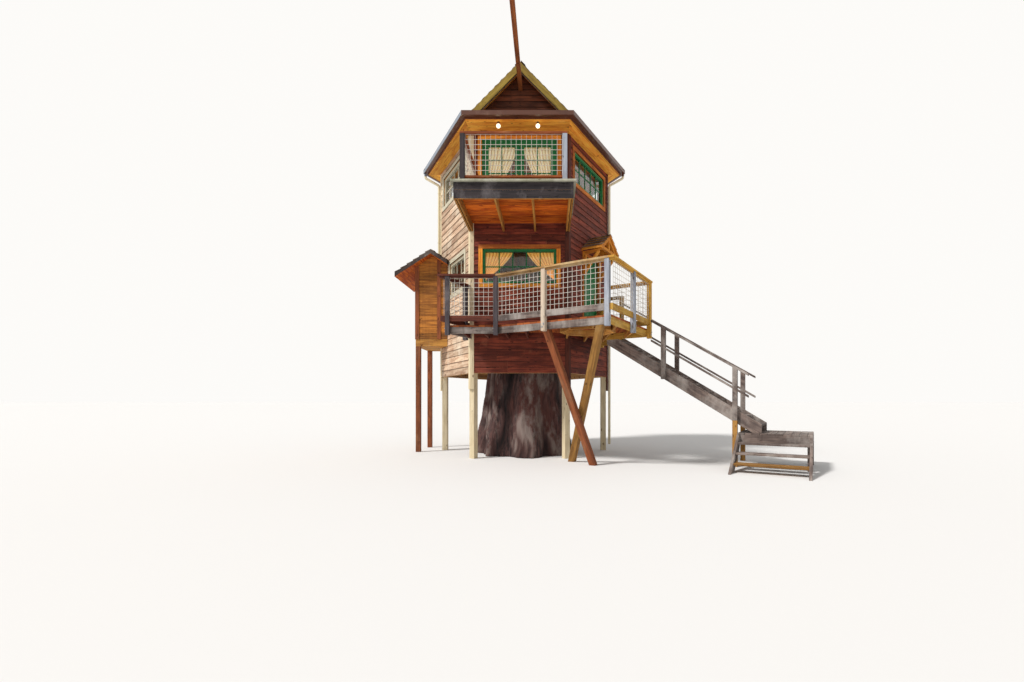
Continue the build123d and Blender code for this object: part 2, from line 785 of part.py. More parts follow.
def shifted_path(points, distance):
    # An open plan path moved inwards by a distance, with mitred corners
    shifted = []
    for n, point in enumerate(points):
        normals = []
        for a, b in ((n - 1, n), (n, n + 1)):
            if a >= 0 and b < len(points):
                run = (Vector(*points[b]) - Vector(*points[a])).normalized()
                normals.append(Vector(run.Y, -run.X) * -1)
        if len(normals) == 1:
            moved = Vector(*point) + normals[0] * distance
        else:
            middle = (normals[0] + normals[1]).normalized()
            moved = Vector(*point) + middle * (distance / middle.dot(normals[0]))
        shifted.append((moved.X, moved.Y))
    return shifted


rim_inside = shifted_path(deck_outline, joist_thick)
deck_rim_foot = joist_top - deck_rim_deep
deck_plate = deck_outline + [(0, 0)]

with BuildPart() as deck_boards:
    with BuildSketch(Plane.XY.offset(joist_top)):
        Polygon(*deck_plate, align=None)
        cabin_footprint()
        with Locations(tree_hole):
            Circle(tree_hole_radius, mode=Mode.SUBTRACT)
    extrude(amount=board_thick)
save(deck_boards, "deck_boards")

with BuildPart() as deck_rim:
    with BuildSketch(Plane.XY.offset(deck_rim_foot)):
        Polygon(*deck_outline, *reversed(rim_inside), align=None)
        cabin_footprint()
    extrude(amount=deck_rim_deep)
save(deck_rim, "deck_rim")

# Deck joists run out from the front wall; an eight-sided box of headers carries them at the tree
header_apothem = tree_hole_radius + header_gap
with BuildPart() as deck_joists:
    with BuildSketch(Plane.XY.offset(deck_rim_foot)):
        with Locations(deck_joist_middle):
            with GridLocations(deck_joist_gap, 0, deck_joist_count, 1):
                Rectangle(joist_thick, deck_joist_long)
        with Locations(tree_hole):
            RegularPolygon(header_apothem + joist_thick, 8, major_radius=False)
            RegularPolygon(header_apothem, 8, major_radius=False, mode=Mode.SUBTRACT)
        Polygon(*rim_inside, (0, 0), align=None, mode=Mode.INTERSECT)
        cabin_footprint()
    extrude(amount=deck_rim_deep)
save(deck_joists, "deck_joists")

# Deck posts stand outside the rim and run below it; the one at the stair head stands on the deck
post_out = deck_post / 2
rail_top = floor_level + rail_height
top_rail_foot = rail_top - rail_thick
deck_post_foot = deck_rim_foot - deck_post_drop


def run_of(segment):
    start, end = Vector(*deck_outline[segment]), Vector(*deck_outline[segment + 1])
    return start, (end - start).normalized(), (end - start).length


def outside_rim(segment, along, out=post_out):
    # A location beside the rim, turned to line up with it
    start, run, _ = run_of(segment)
    point = start + run * along + Vector(run.Y, -run.X) * out
    return Location((point.X, point.Y), degrees(atan2(run.Y, run.X)))


mid_run = run_of(1)[2]
front_run = run_of(2)[2]
side_run = run_of(3)[2]
guard_posts = [(0, house_post_at), (1, post_out), (1, mid_run - post_out), (2, front_post_at),
               (2, front_run - post_out), (3, side_post_at), (3, side_run - post_out),
               (6, post_out), (6, landing_depth - deck_post)]
stair_head_post = beside_right_wall(side_corner_along - post_out, landing_depth + post_out)


def guard_post_shapes(mode=Mode.ADD):
    with Locations(*[outside_rim(*place) for place in guard_posts]):
        Rectangle(deck_post, deck_post, mode=mode)
    with Locations(Location(stair_head_post, -30)):
        Rectangle(deck_post, deck_post, mode=mode)


with BuildPart() as deck_posts:
    with BuildSketch(Plane.XY.offset(deck_post_foot)):
        with Locations(*[outside_rim(*place) for place in guard_posts]):
            Rectangle(deck_post, deck_post)
    extrude(amount=top_rail_foot - deck_post_foot)
    with BuildSketch(Plane.XY.offset(floor_level)):
        with Locations(Location(stair_head_post, -30)):
            Rectangle(deck_post, deck_post)
    extrude(amount=top_rail_foot - floor_level)
save(deck_posts, "deck_posts")

# Rails follow the posts' centre line: a flat top rail, a batten under it and a low board on edge,
# both cut at the posts
guard_path = shifted_path(deck_outline[:5], -post_out)[:4]
guard_path += [beside_right_wall(side_corner_along - post_out, side_corner_out + post_out)]
guard_path += [beside_right_wall(side_corner_along - post_out, landing_depth)]
landing_path = [beside_right_wall(landing_along + post_out, landing_depth),
                beside_right_wall(landing_along + post_out, trim_thick)]
low_rail_level = floor_level + low_rail_height
with BuildPart() as deck_rails:
    with BuildSketch(Plane.XY.offset(top_rail_foot)):
        band(guard_path, rail_wide)
        band(landing_path, rail_wide)
        cabin_footprint()
    extrude(amount=rail_thick)
    for foot, wide, deep in ((top_rail_foot - sub_rail_deep, sub_rail_wide, sub_rail_deep),
                             (low_rail_level, rail_thick, low_rail_deep)):
        with BuildSketch(Plane.XY.offset(foot)):
            band(guard_path, wide)
            band(landing_path, wide)
            cabin_footprint()
            guard_post_shapes(Mode.SUBTRACT)
        extrude(amount=deep)
save(deck_rails, "deck_rails")

# Mesh bays between the posts, each on the posts' centre line
mesh_foot = low_rail_level + low_rail_deep
mesh_high = top_rail_foot - sub_rail_deep - mesh_foot
mesh_middle = mesh_foot + mesh_high / 2


def mesh_plane(segment, start_at, end_at, out=post_out):
    start, run, _ = run_of(segment)
    middle = start + run * (start_at + end_at) / 2 + Vector(run.Y, -run.X) * out
    return Plane(origin=(middle.X, middle.Y, mesh_middle), x_dir=run, z_dir=(run.Y, -run.X, 0))


def mesh_bays(bays):
    with BuildPart() as piece:
        for segment, start_at, end_at, out in bays:
            with BuildSketch(mesh_plane(segment, start_at, end_at, out)):
                mesh_grid(end_at - start_at, mesh_high)
            extrude(amount=mesh_bar / 2, both=True)
    return piece


left_run = run_of(0)[2]
deck_mesh_left = mesh_bays([(0, house_post_at + post_out, left_run, post_out),
                            (1, deck_post, mid_run - deck_post, post_out)])
bend_gap = post_out * tan(radians(30)) + mesh_bar
deck_mesh_front = mesh_bays([(2, bend_gap, front_post_at - post_out, post_out),
                             (2, front_post_at + post_out, front_run - deck_post, post_out)])
stair_side_run = side_corner_out - landing_depth
deck_mesh_right = mesh_bays([(3, 0, side_post_at - post_out, post_out),
                             (3, side_post_at + post_out, side_run - deck_post, post_out),
                             (4, 0, stair_side_run - deck_post, -post_out),
                             (6, deck_post, landing_depth - deck_post - post_out, post_out)])
save(deck_mesh_left, "deck_mesh_left")
save(deck_mesh_front, "deck_mesh_front")
save(deck_mesh_right, "deck_mesh_right")

# Stair: a long flight runs straight out from the landing to a platform
pitch_ratio = step_rise / stair_going
stringer_plumb = stringer_deep * sqrt(1 + pitch_ratio ** 2)
platform_level = lower_risers * step_rise
flight_treads = riser_count - lower_risers - 1
flight_end = landing_depth + stair_going * flight_treads
near_inside = side_corner_along + stringer_thick
far_inside = landing_along - stringer_thick


def stair_plane(along):
    # An upright plane in line with the long flight: x runs out from the wall, y up
    origin = beside_right_wall(along, 0)
    return Plane(origin=(origin[0], origin[1], 0), x_dir=(cos(radians(30)), -0.5, 0),
                 z_dir=(-0.5, -cos(radians(30)), 0))


def nosing_height(out):
    return floor_level - pitch_ratio * (out - landing_depth)


# The platform stands beside the last newels; the short flight falls from its front edge
newel_half = newel_size / 2
platform_near = side_corner_along - newel_size
platform_far = landing_along + newel_size
platform_start = newel_places[-1] + newel_half
platform_end = flight_end + platform_past
platform_rim_foot = platform_level - board_thick - platform_rim_deep
short_inside = (platform_start + stringer_thick, platform_end - stringer_thick)


def lower_plane(out):
    # An upright plane in line with the short flight: x runs forward from the platform, y up
    origin = beside_right_wall(platform_near, out)
    return Plane(origin=(origin[0], origin[1], 0), x_dir=(-0.5, -cos(radians(30)), 0),
                 z_dir=(-cos(radians(30)), 0.5, 0))


def platform_shape(inset, mode=Mode.ADD):
    Polygon(beside_right_wall(platform_near + inset, platform_start + inset),
            beside_right_wall(platform_near + inset, platform_end - inset),
            beside_right_wall(platform_far - inset, platform_end - inset),
            beside_right_wall(platform_far - inset, platform_start + inset), align=None, mode=mode)


with BuildPart() as stair_stringers:
    cut_at_platform = landing_depth + (floor_level - platform_level - stringer_plumb) / pitch_ratio
    for along in (near_inside, landing_along):
        with BuildSketch(stair_plane(along)):
            Polygon((landing_depth, floor_level), (flight_end, nosing_height(flight_end)),
                    (flight_end, platform_level), (cut_at_platform, platform_level),
                    (landing_depth, floor_level - stringer_plumb), align=None)
        extrude(amount=stringer_thick)
    for out in (short_inside[0], platform_end):
        with BuildSketch(lower_plane(out)):
            Polygon((0, platform_level), (platform_level / pitch_ratio, 0),
                    ((platform_level - stringer_plumb) / pitch_ratio, 0),
                    (0, platform_level - stringer_plumb), align=None)
        extrude(amount=stringer_thick)
save(stair_stringers, "stair_stringers")

with BuildPart() as stair_treads:
    with BuildSketch(stair_plane(far_inside)):
        for step in range(1, flight_treads + 1):
            tread_out = landing_depth + stair_going * (step - 0.5)
            with Locations((tread_out, floor_level - step_rise * step - tread_thick / 2)):
                Rectangle(stair_going - tread_gap, tread_thick)
    extrude(amount=far_inside - near_inside)
    with BuildSketch(lower_plane(short_inside[1])):
        for step in range(1, lower_risers):
            tread_out = stair_going * (step - 0.5)
            with Locations((tread_out, platform_level - step_rise * step - tread_thick / 2)):
                Rectangle(stair_going - tread_gap, tread_thick)
    extrude(amount=short_inside[1] - short_inside[0])
save(stair_treads, "stair_treads")

with BuildPart() as platform_boards:
    with BuildSketch(Plane.XY.offset(platform_level - board_thick)):
        platform_shape(0)
    extrude(amount=board_thick)
save(platform_boards, "platform_boards")

# The platform's rim and middle joists, on the newels at one end and two posts at the other
with BuildPart() as platform_frame:
    with BuildSketch(Plane.XY.offset(platform_rim_foot)):
        platform_shape(0)
        platform_shape(joist_thick, Mode.SUBTRACT)
    extrude(amount=platform_rim_deep)
    with BuildSketch(Plane.XY.offset(platform_rim_foot)):
        for out in (platform_start + (platform_end - platform_start) * share for share in (1 / 3, 2 / 3)):
            with Locations(Location(beside_right_wall((platform_near + platform_far) / 2, out), -30)):
                Rectangle(joist_thick, platform_far - platform_near - 2 * joist_thick)
    extrude(amount=platform_rim_deep)
    with BuildSketch():
        for along in (platform_near + newel_half, platform_far - newel_half):
            with Locations(Location(beside_right_wall(along, platform_end - newel_half), -30)):
                Rectangle(newel_size, newel_size)
    extrude(amount=platform_rim_foot + platform_rim_deep)
save(platform_frame, "platform_frame")

# Newels beside the stringers, the last pair down to the ground, with sloping handrails between them
near_rail_start = side_corner_out + deck_post
rail_end = newel_places[-1] + rail_past_newel
newel_feet = (nosing_height(newel_places[0]) - stringer_plumb, 0)
with BuildPart() as stair_railing:
    for along in (side_corner_along, landing_along + newel_size):
        with BuildSketch(stair_plane(along)):
            for place, foot in zip(newel_places, newel_feet):
                top = nosing_height(place) + stair_rail_height - rail_plumb
                rise = pitch_ratio * newel_half
                Polygon((place - newel_half, foot), (place + newel_half, foot),
                        (place + newel_half, top - rise), (place - newel_half, top + rise),
                        align=None)
        extrude(amount=newel_size)
    for along, start_out in ((side_corner_along, near_rail_start),
                             (landing_along + newel_size, landing_depth)):
        with BuildSketch(stair_plane(along)):
            for lift in (stair_rail_height, stair_rail_height / 2):
                start_top = nosing_height(start_out) + lift
                end_top = nosing_height(rail_end) + lift
                Polygon((start_out, start_top), (start_out, start_top - rail_plumb),
                        (rail_end, end_top - rail_plumb), (rail_end, end_top), align=None)
        extrude(amount=newel_size)
save(stair_railing, "stair_railing")

# Door hood: a small gabled roof on brackets and a front truss, over the entry door
hood_slope = hood_drop / hood_half
hood_plumb = hood_thick * sqrt(1 + hood_slope ** 2)
hood_foot = hood_peak - hood_drop
timber_plumb = hood_timber * sqrt(1 + hood_slope ** 2)
truss_peak = hood_peak - hood_plumb
truss_half = hood_half - hood_verge
truss_foot = truss_peak - hood_slope * truss_half
truss_front = hood_reach - hood_brow
truss_back = truss_front - hood_timber
tie_half = truss_half - hood_verge
tie_top = truss_foot + hood_lap
plate_top = truss_foot - timber_plumb + hood_lap
bracket_foot = plate_top - bracket_high
with BuildPart() as door_hood:
    with BuildSketch(wall_plane(1)):
        with Locations((entry_mid, 0)):
            Polygon((0, hood_peak), (hood_half, hood_foot), (hood_half, hood_foot - hood_plumb),
                    (0, hood_peak - hood_plumb), (-hood_half, hood_foot - hood_plumb),
                    (-hood_half, hood_foot), align=None)
    extrude(amount=hood_reach)
    with BuildSketch(wall_plane(1, truss_back)):
        with Locations((entry_mid, 0)):
            Polygon((0, truss_peak), (truss_half, truss_foot), (truss_half, truss_foot - timber_plumb),
                    (0, truss_peak - timber_plumb), (-truss_half, truss_foot - timber_plumb),
                    (-truss_half, truss_foot), align=None)
        with Locations((entry_mid, tie_top - hood_timber / 2)):
            Rectangle(2 * tie_half, hood_timber)
        with Locations((entry_mid, (truss_peak + tie_top) / 2 - hood_timber / 2)):
            Rectangle(hood_timber, truss_peak - tie_top - hood_timber)
    extrude(amount=hood_timber)
    for edge in (-truss_half, truss_half - hood_timber):
        with BuildSketch(stair_plane(hex_side / 2 + entry_mid + edge + hood_timber)):
            with Locations((trim_thick + hood_timber / 2, (bracket_foot + plate_top) / 2)):
                Rectangle(hood_timber, plate_top - bracket_foot)
            with Locations(((trim_thick + truss_back) / 2, plate_top - hood_timber / 2)):
                Rectangle(truss_back - trim_thick, hood_timber)
            Polygon((trim_thick, bracket_foot + hood_lap), (trim_thick + hood_timber, bracket_foot + hood_lap),
                    (truss_back, plate_top - hood_timber), (truss_back - strut_wide, plate_top - hood_timber),
                    align=None)
        extrude(amount=hood_timber)
save(door_hood, "door_hood")

# Side bay: a gabled closet against the left corner, with its own floor and two legs
bay_slope = bay_drop / bay_half
bay_tilt = atan(bay_slope)
bay_eave = bay_ridge - bay_drop
bay_right_eave = bay_ridge - bay_slope * bay_right
bay_plumb = bay_roof_thick / cos(bay_tilt)
bay_floor_foot = floor_level - joist_deep
bay_depth = bay_back - bay_front


with BuildPart() as bay_roof:
    with BuildSketch(Plane.XZ.offset(-bay_front + bay_overhang)):
        with Locations((bay_ridge_x, 0)):
            Polygon((0, bay_ridge), (bay_right, bay_right_eave), (bay_right, bay_right_eave - bay_plumb),
                    (0, bay_ridge - bay_plumb), (-bay_half, bay_eave - bay_plumb),
                    (-bay_half, bay_eave), align=None)
    extrude(amount=-(bay_depth + 2 * bay_overhang))
    with BuildSketch(Plane.XY.offset(siding_foot)):
        Polygon(*hexagon(wall_apothem + corner_board_thick), align=None)
    extrude(amount=soffit_level - siding_foot, mode=Mode.SUBTRACT)
save(bay_roof, "bay_roof")

with BuildPart() as bay_walls:
    with BuildSketch(Plane.XY.offset(floor_level)):
        Polygon((bay_left, bay_front), (-hex_side / 2, bay_front), (-hex_side / 2, bay_back),
                (bay_left, bay_back), align=None)
        Polygon((bay_left + bay_wall_thick, bay_front + bay_wall_thick),
                (-hex_side / 2, bay_front + bay_wall_thick), (-hex_side / 2, bay_back - bay_wall_thick),
                (bay_left + bay_wall_thick, bay_back - bay_wall_thick), align=None, mode=Mode.SUBTRACT)
        Polygon(*hexagon(wall_apothem + corner_board_thick), align=None, mode=Mode.SUBTRACT)
    extrude(amount=bay_ridge - floor_level)
    for hand in (-1, 1):
        underside = Plane(origin=(bay_ridge_x, 0, bay_ridge - bay_plumb), x_dir=(0, 1, 0),
                          z_dir=(hand * sin(bay_tilt), 0, cos(bay_tilt)))
        split(bisect_by=underside, keep=Keep.BOTTOM)
save(bay_walls, "bay_walls")

with BuildPart() as bay_floor:
    with BuildSketch(Plane.XY.offset(bay_floor_foot)):
        Polygon((bay_left, bay_front), (-hex_side / 2, bay_front), (-hex_side / 2, bay_back),
                (bay_left, bay_back), align=None)
        Polygon(*hexagon(wall_apothem + corner_board_thick), align=None, mode=Mode.SUBTRACT)
    extrude(amount=joist_deep)
save(bay_floor, "bay_floor")

# Legs outside the cabin: raking ones prop the deck's rim, plumb ones the bay
with BuildPart() as outer_legs:
    for top_along, leg_foot in zip(leg_tops_along, leg_feet):
        with BuildSketch():
            with Locations(Location(leg_foot, -30)):
                Rectangle(leg_size, leg_size)
        with BuildSketch(Plane.XY.offset(deck_rim_foot)):
            with Locations(outside_rim(2, top_along, -leg_inset)):
                Rectangle(leg_size, leg_size)
        loft(ruled=True)
    with BuildSketch():
        with Locations((bay_left + bay_post / 2, bay_front + bay_post / 2),
                       (bay_left + bay_post / 2, bay_back - bay_post / 2)):
            Rectangle(bay_post, bay_post)
    extrude(amount=bay_floor_foot)
save(outer_legs, "outer_legs")
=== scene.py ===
"""Looks of the tree house: a six-sided cabin on a stump, with its deck, balcony and stair."""

import math
import random

import bmesh
import bpy
from mathutils import Matrix, Vector, bvhtree, noise


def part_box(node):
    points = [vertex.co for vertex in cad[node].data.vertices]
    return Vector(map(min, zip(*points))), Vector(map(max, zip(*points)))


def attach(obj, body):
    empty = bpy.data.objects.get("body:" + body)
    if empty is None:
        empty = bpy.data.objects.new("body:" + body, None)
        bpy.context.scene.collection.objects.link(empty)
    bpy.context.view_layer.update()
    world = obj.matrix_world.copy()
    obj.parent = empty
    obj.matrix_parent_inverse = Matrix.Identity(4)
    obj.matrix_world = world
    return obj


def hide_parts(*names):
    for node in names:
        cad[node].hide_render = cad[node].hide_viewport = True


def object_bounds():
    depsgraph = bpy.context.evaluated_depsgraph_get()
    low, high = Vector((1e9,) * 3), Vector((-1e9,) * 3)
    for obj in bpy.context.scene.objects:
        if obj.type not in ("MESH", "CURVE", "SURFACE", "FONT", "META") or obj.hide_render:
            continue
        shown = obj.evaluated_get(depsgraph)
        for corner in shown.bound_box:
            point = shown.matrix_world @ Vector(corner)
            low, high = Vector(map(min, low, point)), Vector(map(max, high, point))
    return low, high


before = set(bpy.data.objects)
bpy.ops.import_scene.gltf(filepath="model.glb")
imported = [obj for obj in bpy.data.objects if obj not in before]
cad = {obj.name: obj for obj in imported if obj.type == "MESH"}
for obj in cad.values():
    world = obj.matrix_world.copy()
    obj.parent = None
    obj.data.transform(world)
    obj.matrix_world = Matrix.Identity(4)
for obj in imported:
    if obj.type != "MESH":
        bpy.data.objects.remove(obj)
cad_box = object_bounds()

UP = Vector((0, 0, 1))
X_AXIS = Vector((1, 0, 0))
Y_AXIS = Vector((0, 1, 0))

# --- Places read from the frame, in metres ---


def low(name):
    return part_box(name)[0]


def high(name):
    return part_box(name)[1]


WALL_OUT = -low("front_wall").y
WALL_FOOT = low("front_wall").z
SOFFIT_LEVEL = low("soffit").z
ROOF_PEAK = cad_box[1][2]
RIM_SEAM = low("balcony_rim").z + 0.17
DECK_FRONT = low("deck_boards").y * 0.68

# --- Siding and roofing, in metres ---

LAP_FRONT = 0.140
LAP_SIDE = 0.160
LAP_BUTT = 0.017
LAP_TIP = 0.004
LAP_THICK = 0.010
LAP_LONG = (1.6, 3.6)
LAP_GAP = 0.002
SHAKE_COURSE = 0.190
SHAKE_BUTT = 0.024
SHAKE_TIP = -0.002
SHAKE_THICK = 0.014
SHAKE_WIDE = (0.10, 0.24)
SHAKE_GAP = 0.005
CAP_START = 0.10
CAP_STEP = 0.22
CAP_LONG = CAP_STEP * 1.12
CAP_WIDE = 0.13
CAP_LIFT = 0.008
CAP_HALF = CAP_WIDE * 0.46
CAP_BED = SHAKE_BUTT + SHAKE_THICK * 0.6
CAP_RAGGED = 0.003
CAPS_END = CAP_STEP * 1.4

# --- Boards, bars and wires, in metres ---

DECK_BOARD = 0.140
DECK_GAP = 0.006
BALCONY_GAP = 0.010
LINING_BOARD = 0.150
LINING_GAP = 0.002
SOFFIT_BOARD = 0.125
SOFFIT_GAP = 0.004
SOFFIT_LEAST = 0.02
BAY_BOARD = 0.155
BAY_TRIM_IN = 0.57
BAY_TRIM_THICK = 0.016
TRIM_WIDE = 0.095
PANE_WIDE = 0.32
PANE_TALL = 0.33
MUNTIN_WIDE = 0.024
MUNTIN_DEEP = 0.030
MUNTIN_LEVEL = MUNTIN_DEEP * 0.8
WIRE_PITCH = 0.1016
WIRE_THICK = 0.0065
WIRE_SET = WIRE_THICK * 0.4
EASED_EDGE = 0.004
FINE_EDGE = 0.002

# --- Where one finish or stick ends and the next begins, in metres ---

LEFT_WALLS_END = -WALL_OUT * 0.35
LEFT_WALLS_BACK = WALL_OUT * 0.9
MIDDLE_TRIM = 0.1
FLOOR_REACH = 0.1
SAME_LEVEL = 0.05
UNDER_EAVE = 0.2
BALCONY_CORNER = 1.13
BALCONY_POST_LINE = 0.95
DARK_POSTS_END = 0.0
CREAM_POST_END = 1.0
BLUE_POSTS_BACK = -3.0
LOW_BOARD_TOP = 3.5
LEFT_LEGS_END = 1.3
LOW_TREAD = 0.25
# Top of the painted sunlight on the foot of the stair railing's newel.
NEWEL_SUNLIT_TOP = 0.95
TROUGH_DEEP = 0.16
LAMP_COLLAR = 0.036


def side_normal(side):
    """Outward direction of a cabin wall; side 0 is the front one, and they go round leftwards seen from above."""
    angle = math.radians(60 * side - 90)
    return Vector((math.cos(angle), math.sin(angle), 0))


def side_along(side):
    normal = side_normal(side)
    return Vector((-normal.y, normal.x, 0))


# --- Shader nodes ---


def add_node(tree, kind, **settings):
    made = tree.nodes.new("ShaderNode" + kind)
    for key, value in settings.items():
        setattr(made, key, value)
    return made


def feed(tree, sockets, values):
    """Links each value that is a socket, and sets each plain one."""
    for socket, value in zip(sockets, values):
        if isinstance(value, bpy.types.NodeSocket):
            tree.links.new(value, socket)
        else:
            socket.default_value = value


def feed_named(tree, node, values):
    feed(tree, [node.inputs[label] for label in values], values.values())


def maths(tree, operation, first, second):
    made = add_node(tree, "Math", operation=operation)
    feed(tree, made.inputs, (first, second))
    return made.outputs[0]


def stretched_noise(tree, vector, stretch, scale, detail=4.0, roughness=0.6):
    """Noise drawn out along the axes by the stretch, as grain and rain streaks are."""
    mapping = add_node(tree, "Mapping")
    feed_named(tree, mapping, {"Vector": vector, "Scale": stretch})
    made = add_node(tree, "TexNoise")
    feed_named(tree, made, {"Vector": mapping.outputs[0], "Scale": scale, "Detail": detail,
                            "Roughness": roughness})
    return made.outputs["Fac"]


def blend(tree, how, factor, first, second):
    """A colour Mix node; inputs 6 and 7 are its two colours."""
    made = add_node(tree, "Mix", data_type="RGBA", blend_type=how)
    feed(tree, (made.inputs[0], made.inputs[6], made.inputs[7]), (factor, first, second))
    return made.outputs[2]


def spread(tree, value, start, end, low_value=0.0, high_value=1.0):
    """The value taken from start-to-end to low-to-high, held at the ends."""
    made = add_node(tree, "MapRange")
    feed_named(tree, made, {"Value": value, "From Min": start, "From Max": end, "To Min": low_value,
                            "To Max": high_value})
    return made.outputs["Result"]


def srgb(red, green, blue):
    """A colour as a picture shows it, 0 to 255, as the shader's linear colour."""
    linear = [((c / 255 + 0.055) / 1.055) ** 2.4 if c > 10 else c / 3294.6 for c in (red, green, blue)]
    return (*linear, 1)


# --- Shader groups ---

KNOT_BROWN = (0.35, 0.28, 0.24, 1)
RUN_OFF = (0.34, 0.29, 0.25, 1)
LAP_SHADE = (0.16, 0.13, 0.12, 1)
FURROW_SHADE = (0.14, 0.10, 0.12, 1)
FOLD_SHADE = (0.52, 0.40, 0.28, 1)
# Emission strength of the curtain cloth: a painted glow standing in for light through it from the room.
CURTAIN_GLOW = 0.34


def shader_group(name, takes, gives):
    """An empty shader group with these named sockets, and its two end nodes."""
    group = bpy.data.node_groups.new(name, "ShaderNodeTree")
    for label, kind, value in takes:
        socket = group.interface.new_socket(label, in_out="INPUT", socket_type="NodeSocket" + kind)
        if value is not None:
            socket.default_value = value
    for label, kind in gives:
        group.interface.new_socket(label, in_out="OUTPUT", socket_type="NodeSocket" + kind)
    return group, group.nodes.new("NodeGroupInput").outputs, group.nodes.new("NodeGroupOutput").inputs


def sawn_grain_group():
    """Broad and fine streaks along a board, dark knots and drying cracks, and the tone of this board."""
    group, take, give = shader_group(
        "Sawn grain",
        [("Vector", "Vector", None), ("Board", "Float", 0.5), ("Wood", "Color", (0.4, 0.2, 0.1, 1)),
         ("Streak", "Color", (0.2, 0.1, 0.05, 1)), ("Streaks", "Float", 0.5), ("Board Spread", "Float", 0.4)],
        [("Color", "Color"), ("Relief", "Float")])
    offset = add_node(group, "CombineXYZ")
    feed_named(group, offset, {"X": maths(group, "MULTIPLY", take["Board"], 37.0),
                               "Z": maths(group, "MULTIPLY", take["Board"], 11.0)})
    shift = add_node(group, "VectorMath", operation="ADD")
    feed(group, shift.inputs, (take["Vector"], offset.outputs[0]))
    on_board = shift.outputs[0]
    fine = stretched_noise(group, on_board, (1.2, 34.0, 1.0), 3.0, 5.0, 0.7)
    broad = stretched_noise(group, on_board, (1.0, 9.0, 1.0), 2.0, 3.0, 0.5)
    blotch = stretched_noise(group, on_board, (1.4, 4.0, 1.0), 1.3, 4.0, 0.6)
    knots = stretched_noise(group, on_board, (3.0, 7.0, 1.0), 2.4, 1.0, 0.3)
    cracks = stretched_noise(group, on_board, (0.7, 46.0, 1.0), 2.0, 2.0, 0.5)
    streaks = maths(group, "ADD", spread(group, fine, 0.40, 0.64, 0.0, 0.45),
                    spread(group, broad, 0.42, 0.60, 0.0, 0.75))
    colour = take["Wood"]
    for dark_part in (streaks, spread(group, blotch, 0.50, 0.66, 0.0, 0.8)):
        colour = blend(group, "MIX", maths(group, "MULTIPLY", dark_part, take["Streaks"]), colour, take["Streak"])
    scars = maths(group, "MAXIMUM", spread(group, knots, 0.70, 0.75, 0.0, 0.8),
                  spread(group, cracks, 0.66, 0.72, 0.0, 0.7))
    colour = blend(group, "MIX", scars, colour, blend(group, "MULTIPLY", 1.0, take["Streak"], KNOT_BROWN))
    tone = maths(group, "MULTIPLY", maths(group, "SUBTRACT", take["Board"], 0.5), take["Board Spread"])
    hue = add_node(group, "HueSaturation")
    feed_named(group, hue, {"Value": maths(group, "ADD", tone, 1.0), "Color": colour})
    feed(group, (give["Color"], give["Relief"]), (hue.outputs[0], fine))
    return group


def weathering_group():
    """Patches where sun and rain have taken the stain off, and dark run-off streaks down the faces."""
    group, take, give = shader_group(
        "Weathering",
        [("Place", "Vector", None), ("Color", "Color", (0.4, 0.2, 0.1, 1)), ("Worn", "Color", (0.5, 0.45, 0.4, 1)),
         ("Wear", "Float", 0.3), ("Dirt", "Float", 0.3)],
        [("Color", "Color"), ("Mask", "Float")])
    patches = stretched_noise(group, take["Place"], (1.0, 1.0, 0.7), 1.7, 6.0, 0.65)
    runs = stretched_noise(group, take["Place"], (9.0, 9.0, 0.6), 1.5, 4.0, 0.6)
    sound = maths(group, "MULTIPLY", maths(group, "SUBTRACT", 1.0, take["Wear"]), 0.72)
    mask = spread(group, maths(group, "SUBTRACT", patches, sound), 0.0, 0.22)
    colour = blend(group, "MIX", mask, take["Color"], take["Worn"])
    dirty = maths(group, "MULTIPLY", spread(group, runs, 0.5, 0.75), take["Dirt"])
    feed(group, (give["Color"], give["Mask"]), (blend(group, "MULTIPLY", dirty, colour, RUN_OFF), mask))
    return group


SAWN_GRAIN = sawn_grain_group()
WEATHERING = weathering_group()

# --- Materials ---


def placed_group(tree, group, **values):
    """The group as a node of a material, with its named inputs set or linked; an underscore stands for a space."""
    made = add_node(tree, "Group", node_tree=group)
    feed_named(tree, made, {key.replace("_", " "): value for key, value in values.items()})
    return made.outputs


def new_material(name):
    material = bpy.data.materials.new(name)
    material.use_nodes = True
    tree = material.node_tree
    return material, tree, tree.nodes["Principled BSDF"]


def attribute(tree, name):
    return add_node(tree, "Attribute", attribute_name=name).outputs["Fac"]


def bumped(tree, shader, height, strength, distance=0.004):
    bump = add_node(tree, "Bump")
    feed_named(tree, bump, {"Strength": strength, "Distance": distance, "Height": height})
    tree.links.new(bump.outputs[0], shader.inputs["Normal"])


def stained_wood(name, wood, streak, worn, streaks=0.7, board_spread=0.5, wear=0.2, dirt=0.3, roughness=0.75):
    """Stained boards: the grain follows each board's own UV, the weather follows the place on the building, and
    painted shade darkens the top of each lap board under the next course.
    """
    material, tree, shader = new_material(name)
    uv = add_node(tree, "UVMap", uv_map="grain")
    place = add_node(tree, "TexCoord")
    grain = placed_group(tree, SAWN_GRAIN, Vector=uv.outputs[0], Board=attribute(tree, "board"), Wood=srgb(*wood),
                         Streak=srgb(*streak), Streaks=streaks, Board_Spread=board_spread)
    aged = placed_group(tree, WEATHERING, Place=place.outputs["Object"], Color=grain["Color"], Worn=srgb(*worn),
                        Wear=wear, Dirt=dirt)
    # Painted shade: the top of each lap board darkens where the next board's butt overhangs it.
    painted_lap_shade = spread(tree, attribute(tree, "tuck"), 0.80, 1.0, 0.0, 0.85)
    feed_named(tree, shader, {"Base Color": blend(tree, "MULTIPLY", painted_lap_shade, aged["Color"], LAP_SHADE),
                              "Roughness": spread(tree, aged["Mask"], 0.0, 1.0, roughness, roughness + 0.15),
                              "Specular IOR Level": 0.3})
    bumped(tree, shader, grain["Relief"], 0.35)
    return material


